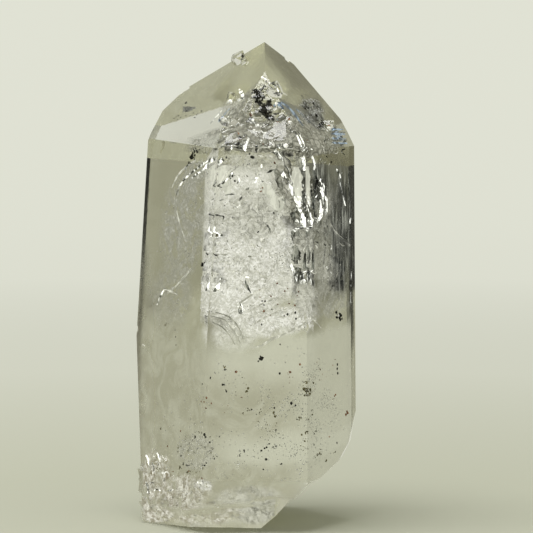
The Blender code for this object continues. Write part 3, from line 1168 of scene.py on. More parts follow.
@dataclass(frozen=True)
class Veil:
    """A curved sheet in the crystal, strewn with flakes, placed by where it shows.

    Places and half sizes are in points of the picture, depths and flakes in millimetres.
    """

    x: float
    y: float
    half_width: float
    half_height: float
    depth: float
    density: float
    largest: float
    kind: Grain
    patch_edge: float = 0.52
    patch_scale: float = 420.0
    tilt: float = 0.0
    smallest: float = 0.05
    film: Film | None = None
    strength: float = 0.6
    bow: float = 1.0
    ripple: float = 0.8
    ripple_step: float = 1.7
    hollow: float = 0.0
    heart_reach: float = 0.75
    soft_edge: float = 0.35
    shallowest: float = 0.3
    thickness: float = 0.03
    steps: int = 22
    longest_step: float = 3.2

    def carrier(self, view: PhotoView, seed: int, share: float = 1.0, closed: bool = False) -> bpy.types.Mesh:
        """Makes the sheet that the flakes are spread over.

        Args:
            view: The photograph's view.
            seed: A number that shifts its ripples.
            share: What the cover is multiplied by.
            closed: Whether the sheet gets a back and a rim.

        Returns:
            The sheet, with its cover stored at each corner.
        """
        bm = bmesh.new()
        cover = bm.verts.layers.float.new("cover")
        grid: dict[tuple[int, int], bmesh.types.BMVert] = {}
        for row in range(self.steps + 1):
            for column in range(self.steps + 1):
                u = 2 * column / self.steps - 1
                v = 2 * row / self.steps - 1
                spot = self.spot(view, u, v, seed)
                if spot is None:
                    continue
                corner = bm.verts.new(spot)
                corner[cover] = self.cover(u, v) * share
                grid[row, column] = corner
        longest = self.longest_step * max(self.half_width, self.half_height) * 2 / self.steps * view.scale
        for row in range(self.steps):
            for column in range(self.steps):
                keys = ((row, column), (row, column + 1), (row + 1, column + 1), (row + 1, column))
                corners = [grid.get(key) for key in keys]
                if None in corners:
                    continue
                sides = zip(corners, corners[1:] + corners[:1])
                if all((one.co - other.co).length < longest for one, other in sides):
                    bm.faces.new(corners)
        loose = [corner for corner in bm.verts if not corner.link_faces]
        bmesh.ops.delete(bm, geom=loose, context="VERTS")
        if closed:
            close_sheet(bm, view.forward() * self.thickness * MM, cover)
        return kept_mesh(bm, "veil sheet")

    def spot(self, view: PhotoView, u: float, v: float, seed: int) -> Vector | None:
        """A point of the sheet.

        Args:
            view: The photograph's view.
            u: The place along the sheet, from -1 to 1.
            v: The place down the sheet, from -1 to 1.
            seed: A number that shifts the ripples.

        Returns:
            The point, or None beside the crystal.
        """
        turn = math.radians(self.tilt)
        x = self.x + self.half_width * u * math.cos(turn) - self.half_height * v * math.sin(turn)
        y = self.y + self.half_width * u * math.sin(turn) + self.half_height * v * math.cos(turn)
        wave = noise.noise(Vector((u * self.ripple_step + seed, v * self.ripple_step, seed * 0.37)))
        depth = self.depth + self.bow * (u * u + v * v) + self.ripple * wave
        return view.inside(x, y, max(depth, self.shallowest) * MM)

    def cover(self, u: float, v: float) -> float:
        """How densely the sheet is covered at a place, from 0 at its rim to 1."""
        reach = math.hypot(u, v)
        rim = min(max((1.0 - reach) / self.soft_edge, 0.0), 1.0)
        return rim * (1.0 - self.hollow * min(max((self.heart_reach - reach) / self.soft_edge, 0.0), 1.0))


@dataclass(frozen=True)
class FlatVeil(Veil):
    """A veil that lies nearly flat, close behind a face."""

    bow: float = 0.2
    ripple: float = 0.2


def close_sheet(bm: bmesh.types.BMesh, offset: Vector, cover: object) -> None:
    """Gives an open sheet a back and a rim, so that it is a thin closed shell.

    Args:
        bm: The sheet.
        offset: The way from its front to its back.
        cover: The layer that the back takes over from the front.
    """
    front = bm.faces[:]
    rim = [edge for edge in bm.edges if edge.is_boundary]
    back = {corner: bm.verts.new(corner.co + offset) for corner in bm.verts[:]}
    for corner, twin in back.items():
        twin[cover] = corner[cover]
    for face in front:
        bm.faces.new([back[corner] for corner in reversed(face.verts)])
    for edge in rim:
        first, second = edge.verts
        bm.faces.new((first, second, back[second], back[first]))
    bmesh.ops.recalc_face_normals(bm, faces=bm.faces[:])


@dataclass(frozen=True)
class Spot:
    """A grain, or a loose group of grains, placed by where it shows.

    The place, the grain's half width and the spread are in points of the picture, the depth in
    millimetres. Stretch draws the group out along its tilt, in degrees.
    """

    x: float
    y: float
    size: float
    depth: float = 1.0
    count: int = 1
    spread: float = 0.0
    stretch: float = 1.0
    tilt: float = 0.0


@dataclass(frozen=True)
class Crack:
    """A thin bent gap along a line of the picture.

    Each point has its place, the gap's half width there and, where it turns, its twist in degrees.
    """

    path: tuple[tuple[float, ...], ...]
    depth: float
    sheen: Sheen = Sheen.PAINTED_HIGHLIGHT
    bow: float = 0.35
    thickness: float = 0.03


@dataclass(frozen=True)
class FlawField:
    """A loose scatter of small bent cracks within an oval of the picture."""

    x: float
    y: float
    half_width: float
    half_height: float
    count: int
    depth: float
    seed: int
    longest: float = 9.0
    widest: float = 0.9
    turn: float = -55.0
    sheens: tuple[Sheen, ...] = (Sheen.SHADE, Sheen.FAINT, Sheen.DUSK, Sheen.FAINT, Sheen.PAINTED_HIGHLIGHT, Sheen.DUSK)
    turn_spread: float = 45.0
    shortest_share: float = 0.25
    most_bend: float = 0.3
    narrowest_share: float = 0.35
    end_share: float = 0.4
    most_twist: float = 50.0
    depth_spread: float = 0.6

    def cracks(self) -> list[Crack]:
        """The small cracks.

        Returns:
            One short bent crack for each flaw.
        """
        chance = random.Random(self.seed)
        found = []
        for number in range(self.count):
            reach = math.sqrt(chance.random())
            way = chance.uniform(0, 2 * math.pi)
            x = self.x + self.half_width * reach * math.cos(way)
            y = self.y + self.half_height * reach * math.sin(way)
            heading = math.radians(self.turn + chance.gauss(0, self.turn_spread))
            length = self.longest * chance.uniform(self.shortest_share, 1.0)
            bend = length * chance.uniform(-self.most_bend, self.most_bend)
            along = Vector((math.cos(heading), math.sin(heading))) * length / 2
            aside = Vector((-math.sin(heading), math.cos(heading))) * bend
            half = self.widest * chance.uniform(self.narrowest_share, 1.0)
            twist = chance.uniform(0, self.most_twist)
            end = half * self.end_share
            path = ((x - along.x, y - along.y, end, 0), (x + aside.x, y + aside.y, half, twist),
                    (x + along.x, y + along.y, end, 0))
            depth = self.depth + chance.uniform(-self.depth_spread, self.depth_spread)
            found.append(Crack(path, depth, self.sheens[number % len(self.sheens)]))
        return found


@dataclass
class Inclusions:
    """Everything that lies inside the crystal."""

    view: PhotoView
    veils: tuple[Veil, ...]
    spots: dict[Grain, tuple[Spot, ...]]
    cracks: tuple[Crack, ...]
    flaws: tuple[FlawField, ...]
    pixel: float = 0.15
    first_veil_seed: int = 40
    flake_flatness: float = 0.22
    flake_lean: float = 0.6
    flake_ragged: float = 0.10
    first_grain_seed: int = 7
    grain_scale: float = 1.18
    grain_flatness: float = 0.8
    grain_ragged: float = 0.16
    grain_wander: float = 0.4
    follower_size: Span = (0.45, 0.5)
    shallowest_grain: float = 0.15
    crack_across: int = 6
    crack_along: int = 5
    crack_widen: float = 1.35
    crack_width: float = 0.85
    crack_swing: float = 0.75
    crack_bump: float = 0.22

    def build(self) -> None:
        """Makes the veils, the grains and the cracks."""
        self.add_veils()
        self.add_grains()
        self.add_cracks()

    def add_veils(self) -> None:
        """Strews each veil with its flakes and joins those of one kind, which keep the plain pale look."""
        tree = GrainTree(spread=True).build()
        flakes: dict[Grain, list[bpy.types.Mesh]] = {}
        films: dict[Film, list[bpy.types.Mesh]] = {}
        for number, veil in enumerate(self.veils):
            if veil.film:
                sheet = veil.carrier(self.view, number, veil.strength, closed=True)
                films.setdefault(veil.film, []).append(sheet)
            flakes.setdefault(veil.kind, []).append(grow(tree, veil.carrier(self.view, number), {
                "Density": veil.density / (MM * MM), "Patch Scale": veil.patch_scale,
                "Patch Edge": veil.patch_edge, "Smallest": veil.smallest * MM, "Largest": veil.largest * MM,
                "Flatness": self.flake_flatness, "Lean": self.flake_lean, "Ragged": self.flake_ragged * MM,
                "Seed": self.first_veil_seed + number,
            }))
        for kind, meshes in flakes.items():
            dress(kind.name.lower() + "_veils", joined(meshes))
        for kind, meshes in films.items():
            film = joined(meshes, FILM_FINISHES[kind].material(kind))
            film.shade_smooth()
            dress(kind.name.lower() + "_films", film)

    def add_grains(self) -> None:
        """Sets the single grains and the groups of each kind."""
        tree = GrainTree(spread=False).build()
        for number, (kind, spots) in enumerate(self.spots.items()):
            bm = bmesh.new()
            size = bm.verts.layers.float.new("size")
            for index, spot in enumerate(spots):
                for grain in range(spot.count):
                    self.add_grain_point(bm, size, spot, (number, index, grain))
            mesh = grow(tree, kept_mesh(bm, "grain points"), {
                "Flatness": self.grain_flatness, "Ragged": self.grain_ragged * MM,
                "Seed": self.first_grain_seed + number, "Finish": GRAIN_FINISHES[kind].material(kind),
            })
            dress(kind.name.lower() + "_grains", mesh)

    def add_grain_point(self, bm: bmesh.types.BMesh, size: object, spot: Spot,
                        key: tuple[int, int, int]) -> None:
        """Adds the point of one grain of a group, scattered by a fixed noise.

        Args:
            bm: The mesh of points.
            size: Its layer of sizes.
            spot: The group.
            key: The numbers of the kind, of the group and of the grain.
        """
        number, index, grain = key
        seed = Vector((index * 3.1 + number, grain * 1.37 + 0.5, number * 2.3 + grain * 0.71))
        u, v, w = noise.noise_vector(seed * 1.9) * 1.6
        along = math.radians(spot.tilt)
        right = spot.spread * u * spot.stretch
        down = spot.spread * v
        x = spot.x + right * math.cos(along) - down * math.sin(along)
        y = spot.y + right * math.sin(along) + down * math.cos(along)
        depth = max(spot.depth + self.grain_wander * w, self.shallowest_grain)
        place = self.view.inside(x, y, depth * MM)
        if place is not None:
            share = 1.0 if grain == 0 else self.follower_size[0] + self.follower_size[1] * abs(w)
            bm.verts.new(place)[size] = spot.size * self.grain_scale * self.pixel * MM * share

    def add_cracks(self) -> None:
        """Makes the cracks of each sheen as one piece."""
        cracks = [*self.cracks, *(crack for flaws in self.flaws for crack in flaws.cracks())]
        for sheen, finish in CRACK_FINISHES.items():
            bm = bmesh.new()
            for number, crack in enumerate(cracks):
                if crack.sheen is sheen:
                    self.add_ribbon(bm, crack, number)
            bmesh.ops.recalc_face_normals(bm, faces=bm.faces[:])
            mesh = kept_mesh(bm, sheen.value, finish.material(sheen))
            mesh.shade_smooth()
            dress(sheen.name.lower() + "_cracks", mesh)

    def add_ribbon(self, bm: bmesh.types.BMesh, crack: Crack, seed: int) -> None:
        """Adds one crack as a thin closed shell along its line.

        Args:
            bm: The mesh that it goes into.
            crack: The crack.
            seed: A number that sets its uneven edge.
        """
        line = smooth_line([Vector((*point, 0.0)[:4]) for point in crack.path], self.crack_along)
        rows: list[list[bmesh.types.BMVert]] = []
        for index, point in enumerate(line):
            ahead = line[min(index + 1, len(line) - 1)] - line[max(index - 1, 0)]
            heading = Vector((ahead.x, 0, -ahead.y)).normalized()
            level = Vector((heading.z, 0, -heading.x))
            twist = math.radians(point.w)
            side = level * math.cos(twist) + self.view.forward() * math.sin(twist)
            facing = self.view.forward() * math.cos(twist) - level * math.sin(twist)
            centre = self.view.inside(point.x, point.y, crack.depth * MM)
            if centre is None:
                continue
            swing = noise.noise(Vector((index * 0.61, seed * 3.7, 0.2)))
            ragged = self.crack_width + self.crack_swing * swing
            half = point.z * self.crack_widen * self.pixel * MM * ragged
            row = []
            for step in range(self.crack_across + 1):
                u = 2 * step / self.crack_across - 1
                bump = noise.noise(Vector((index * 0.35, u * 1.3, seed * 1.9)))
                lift = crack.bow * (1 - u * u) * half + self.crack_bump * half * bump
                row.append(bm.verts.new(centre + side * (half * u) + facing * lift))
            rows.append(row)
        faces = []
        for first, second in zip(rows, rows[1:]):
            for step in range(self.crack_across):
                faces.append(bm.faces.new((first[step], first[step + 1], second[step + 1], second[step])))
        bmesh.ops.solidify(bm, geom=faces, thickness=crack.thickness * MM)


def smooth_line(points: list[Vector], steps: int) -> list[Vector]:
    """Rounds a line of control points.

    Args:
        points: The control points.
        steps: How many points replace each stretch.

    Returns:
        The rounded line, through the control points.
    """
    line = []
    for index in range(len(points) - 1):
        before = points[max(index - 1, 0)]
        start, end = points[index], points[index + 1]
        after = points[min(index + 2, len(points) - 1)]
        for step in range(steps):
            t = step / steps
            bend = 2 * before - 5 * start + 4 * end - after
            line.append(0.5 * ((2 * start) + (end - before) * t + bend * t ** 2
                               + (3 * start - before - 3 * end + after) * t ** 3))
    line.append(points[-1])
    return line


def joined(meshes: list[bpy.types.Mesh], *finish: bpy.types.Material) -> bpy.types.Mesh:
    """Joins meshes of one material.

    Args:
        meshes: The meshes.
        finish: Their material, if they have one.

    Returns:
        One mesh of them all.
    """
    bm = bmesh.new()
    for mesh in meshes:
        bm.from_mesh(mesh)
    return kept_mesh(bm, "joined", *finish)


@dataclass
class CrushedFoot:
    """The crushed layer inside the foot, just above its broken surface."""

    crystal: BVHTree
    centre: Colour = (-1.0 * MM, 1.0 * MM, 5 * MM)
    rings: int = 12
    sides: int = 40
    inset: float = 0.86
    heart: float = 0.02
    widest: float = 10 * MM
    rise: Span = (0.7 * MM, 2.6 * MM)
    lump_scale: float = 260.0
    crumb_scale: float = 700.0
    crumb_share: float = 0.3
    thickness: float = 0.25 * MM

    def build(self) -> None:
        """Makes the layer."""
        bm = bmesh.new()
        rows = [[bm.verts.new(self.spot(ring, side)) for side in range(self.sides)]
                for ring in range(self.rings + 1)]
        faces = []
        for inner, outer in zip(rows, rows[1:]):
            for side in range(self.sides):
                after = (side + 1) % self.sides
                faces.append(bm.faces.new((inner[side], outer[side], outer[after], inner[after])))
        faces.append(bm.faces.new(rows[0][::-1]))
        bmesh.ops.solidify(bm, geom=faces, thickness=self.thickness)
        bmesh.ops.recalc_face_normals(bm, faces=bm.faces[:])
        mesh = kept_mesh(bm, "crushed_foot", FootFrost().material())
        mesh.shade_smooth()
        dress("crushed_foot", mesh)

    def spot(self, ring: int, side: int) -> Vector:
        """A point of the layer.

        Args:
            ring: The ring's number, from the middle outwards.
            side: The point's number in the ring.

        Returns:
            The point, a little above the broken surface.
        """
        turn = 2 * math.pi * side / self.sides
        out = Vector((math.cos(turn), math.sin(turn), 0))
        centre = Vector(self.centre)
        reach = self.crystal.ray_cast(centre, out)[3] or self.widest
        spot = centre + out * (reach * self.inset * (self.heart + (1 - self.heart) * ring / self.rings))
        below = self.crystal.ray_cast(spot, Vector((0, 0, -1)))[0]
        ground = below.z if below else 0.0
        crumb = self.crumb_share * noise.noise(spot * self.crumb_scale)
        lump = 0.5 + 0.5 * noise.noise(spot * self.lump_scale) + crumb
        height = ground + self.rise[0] + (self.rise[1] - self.rise[0]) * max(lump, 0.0)
        return Vector((spot.x, spot.y, height))


@dataclass
class MilkyCloud:
    """The soft rounded cloud that fills the lower half of the crystal."""

    crystal: BVHTree
    bottom: float = 1.6 * MM
    shoulder: float = 33 * MM
    top: float = 43 * MM
    lean: float = math.radians(3.5)
    rows: int = 40
    crowding: float = 1.4
    sides: int = 72
    widest: float = 9 * MM
    gap: float = 0.85 * MM
    tip: float = 0.002
    wave_height: float = 0.02
    wave_turns: float = 1.3
    wave_scale: float = 160.0

    def build(self) -> None:
        """Makes the cloud."""
        bm = bmesh.new()
        rings = []
        for row in range(self.rows + 1):
            share = 1 - (1 - row / self.rows) ** self.crowding
            ring = self.ring(self.bottom + (self.top - self.bottom) * share)
            rings.append([bm.verts.new(spot) for spot in ring])
        for lower, upper in zip(rings, rings[1:]):
            for side in range(self.sides):
                after = (side + 1) % self.sides
                bm.faces.new((lower[side], lower[after], upper[after], upper[side]))
        bm.faces.new(rings[0][::-1])
        bm.faces.new(rings[-1])
        bmesh.ops.recalc_face_normals(bm, faces=bm.faces[:])
        mesh = kept_mesh(bm, "milky_cloud", MilkyFinish().material())
        mesh.shade_smooth()
        dress("milky_cloud", mesh)

    def ring(self, height: float) -> list[Vector]:
        """The cloud's outline at one height.

        Args:
            height: The height above the ground.

        Returns:
            The points of the outline.
        """
        centre = Vector((height * math.tan(self.lean), 0, height))
        turns = [2 * math.pi * side / self.sides for side in range(self.sides)]
        ways = [Vector((math.cos(turn), math.sin(turn), 0)) for turn in turns]
        walls = [self.crystal.ray_cast(centre, way)[3] or self.widest for way in ways]
        swell = 1.0
        if height > self.shoulder:
            rise = (height - self.shoulder) / (self.top - self.shoulder)
            swell = math.sqrt(max(1 - rise * rise, self.tip))
        points = []
        for side, way in enumerate(ways):
            beside = (walls[side - 1] + walls[side] + walls[(side + 1) % self.sides]) / 3
            reach = (min(beside, walls[side]) - self.gap) * swell
            wave = 0.5 + 0.5 * noise.noise(way * self.wave_turns + centre * self.wave_scale)
            points.append(centre + way * reach * (1 - self.wave_height * wave))
        return points


VEILS = (
    # In the middle, behind the front face
    Veil(252, 208, 40, 44, 4.6, 3, 0.15, Grain.GREY, film=Film.SNOW),
    Veil(256, 216, 34, 36, 4.2, 1, 0.13, Grain.GREY, film=Film.GREY, strength=0.55),
    Veil(252, 205, 40, 46, 4, 2.5, 0.13, Grain.SNOW, 0.54, 700),
    Veil(246, 262, 44, 26, 4, 4, 0.15, Grain.SNOW, 0.52, 700, tilt=12, film=Film.SNOW, strength=0.85),
    Veil(250, 240, 42, 28, 5, 3, 0.13, Grain.GREY, 0.5, 800, film=Film.SNOW),
    Veil(250, 303, 34, 38, 4, 2.5, 0.14, Grain.SNOW, 0.52, 900, tilt=-20, film=Film.SNOW, strength=0.95),
    Veil(220, 296, 16, 30, 4.4, 3, 0.16, Grain.SNOW, 0.5, 600, tilt=14, smallest=0.06, film=Film.SNOW),
    Veil(236, 329, 19, 5, 3, 8, 0.14, Grain.GREY, 0.45, 700, tilt=55, film=Film.GREY, strength=0.7,
         bow=0.5),
    Veil(222, 327, 16, 5, 3, 7, 0.12, Grain.GREY, 0.5, 700, tilt=38, film=Film.GREY, strength=0.5, bow=0.5),
    Veil(284, 322, 38, 16, 3, 3, 0.14, Grain.SNOW, 0.54, 800, tilt=-14, film=Film.SNOW, strength=0.8,
         bow=0.5),
    Veil(234, 336, 25, 20, 3.4, 1.5, 0.12, Grain.SNOW, 0.54, 800, film=Film.SNOW, strength=0.55, bow=0.5),
    Veil(284, 262, 20, 46, 4.4, 4, 0.15, Grain.SNOW, 0.5, 500, film=Film.SNOW),
    # Behind the left face
    Veil(184, 225, 26, 60, 5, 1.2, 0.13, Grain.GREY, 0.55, 500, tilt=6, film=Film.STREAK, strength=0.7),
    Veil(178, 235, 26, 60, 4.4, 1.2, 0.12, Grain.SNOW, 0.57, tilt=6),
    Veil(170, 300, 24, 40, 4, 1.5, 0.13, Grain.SNOW, 0.55, tilt=8, film=Film.STREAK, strength=0.4),
    Veil(198, 176, 15, 24, 3.4, 3, 0.17, Grain.SNOW, 0.52, 600, tilt=30, smallest=0.06, film=Film.STREAK,
         strength=0.7),
    # Under the etched end face and the one to its right
    Veil(208, 139, 26, 9, 3, 3, 0.14, Grain.SNOW, 0.54, 700, tilt=-18, film=Film.BUBBLE, strength=0.55),
    Veil(246, 112, 28, 20, 2.4, 0.8, 0.14, Grain.SNOW, 0.58, 700, film=Film.BUBBLE),
    Veil(256, 132, 38, 18, 2.8, 4, 0.16, Grain.GREY, 0.52, 650, film=Film.BUBBLE, strength=0.95),
    Veil(258, 134, 34, 13, 0.8, 0.6, 0.13, Grain.GREY, 0.55, 700, film=Film.BUBBLE, strength=0.45, bow=0.3,
         ripple=0.3),
    Veil(262, 140, 36, 12, 2.4, 1, 0.14, Grain.SNOW, 0.57, 700),
    Veil(255, 162, 38, 11, 4, 3, 0.15, Grain.GREY, 0.5, 600, film=Film.GREY, strength=0.65),
    Veil(300, 136, 20, 26, 3, 3, 0.15, Grain.SNOW, 0.54, 600, tilt=-30, film=Film.BUBBLE, strength=0.8),
    Veil(322, 140, 18, 12, 2, 3, 0.14, Grain.GREY, 0.52, 700, tilt=10, film=Film.BUBBLE, strength=0.7),
    FlatVeil(312, 111, 13, 15, 0.5, 26, 0.17, Grain.OLIVE, 0.47, 520, tilt=-35, smallest=0.07,
             film=Film.SHADE, strength=0.7),
    FlatVeil(318, 122, 12, 8, 0.5, 20, 0.16, Grain.OLIVE, 0.49, 520, tilt=40, smallest=0.07,
             film=Film.SHADE, strength=0.5),
    # Behind the right face
    Veil(290, 190, 18, 44, 4, 2, 0.17, Grain.GREY, 0.53, tilt=-20, smallest=0.06, film=Film.BUBBLE),
    Veil(300, 250, 14, 28, 4, 2, 0.17, Grain.GREY, 0.53, smallest=0.06, film=Film.GREY),
    Veil(325, 240, 22, 60, 3.6, 2, 0.16, Grain.SNOW, 0.55, tilt=4, smallest=0.06, film=Film.STREAK,
         strength=0.5),
    # The shade films are painted shade: dark streaks behind the right face.
    Veil(341, 225, 12, 66, 2.6, 1.4, 0.15, Grain.GREY, 0.53, film=Film.SHADE, strength=0.7, bow=0.5),
    Veil(322, 200, 16, 46, 4.4, 2.5, 0.17, Grain.GREY, 0.53, tilt=-4, smallest=0.06, film=Film.SHADE),
    Veil(305, 297, 14, 18, 2.4, 3, 0.13, Grain.SNOW, 0.53, 700, film=Film.GREY, strength=0.8, bow=0.5),
    Veil(341, 262, 14, 40, 1.8, 2, 0.12, Grain.GREY, 0.53, 600, film=Film.SHADE, strength=0.3, bow=0.5),
    Veil(326, 268, 18, 14, 3.6, 5, 0.14, Grain.SNOW, 0.5, 700, tilt=30, film=Film.GREY, strength=0.5),
    Veil(330, 300, 22, 20, 2.6, 2, 0.14, Grain.SNOW, 0.52, 600, film=Film.STREAK, strength=0.5),
    # Around the foot
    FlatVeil(156, 474, 18, 26, 0.4, 5, 0.16, Grain.SNOW, 0.55, 520, smallest=0.06, film=Film.CRUST),
    FlatVeil(158, 506, 20, 20, 0.4, 7, 0.16, Grain.SNOW, 0.54, 520, smallest=0.06, film=Film.CRUST,
             strength=0.75),
    FlatVeil(205, 514, 44, 12, 0.4, 4, 0.15, Grain.GREY, 0.5, 520, smallest=0.06, film=Film.CRUST,
             strength=0.5),
    FlatVeil(262, 514, 34, 12, 0.4, 4, 0.15, Grain.GREY, 0.5, 520, smallest=0.06, film=Film.GREY),
    FlatVeil(182, 490, 34, 18, 0.4, 4, 0.16, Grain.GREY, 0.5, smallest=0.06, film=Film.CRUST,
             strength=0.45),
    Veil(204, 485, 9, 6, 0.35, 6, 0.2, Grain.SNOW, 0.4, tilt=20, smallest=0.08, film=Film.SNOW, strength=1,
         bow=0.1, ripple=0.1),
    FlatVeil(250, 500, 40, 16, 0.5, 3, 0.16, Grain.GREY, 0.5, smallest=0.06, film=Film.GREY, strength=0.5),
    FlatVeil(236, 470, 32, 16, 0.5, 2.5, 0.12, Grain.SNOW, 0.54),
    FlatVeil(288, 472, 34, 18, 0.5, 2.5, 0.12, Grain.GREY, 0.54),
    # Fine grains in the milky half
    FlatVeil(196, 452, 21, 20, 0.5, 9, 0.13, Grain.OLIVE, 0.46, film=Film.GREY, strength=0.35, hollow=0.5),
    FlatVeil(225, 415, 80, 66, 0.6, 3, 0.12, Grain.OLIVE, 0.56, 260),
    FlatVeil(225, 430, 80, 60, 0.6, 1.2, 0.1, Grain.BLACK, 0.56, 360),
    FlatVeil(300, 410, 50, 66, 0.6, 7, 0.12, Grain.OLIVE, 0.53, 300),
    FlatVeil(312, 430, 36, 44, 0.6, 3.5, 0.11, Grain.BLACK, 0.55),
    FlatVeil(310, 385, 34, 36, 0.6, 5, 0.11, Grain.RUST, 0.55, 300),
    FlatVeil(190, 410, 44, 40, 0.6, 0.9, 0.09, Grain.RUST, 0.57, 300, smallest=0.03),
)

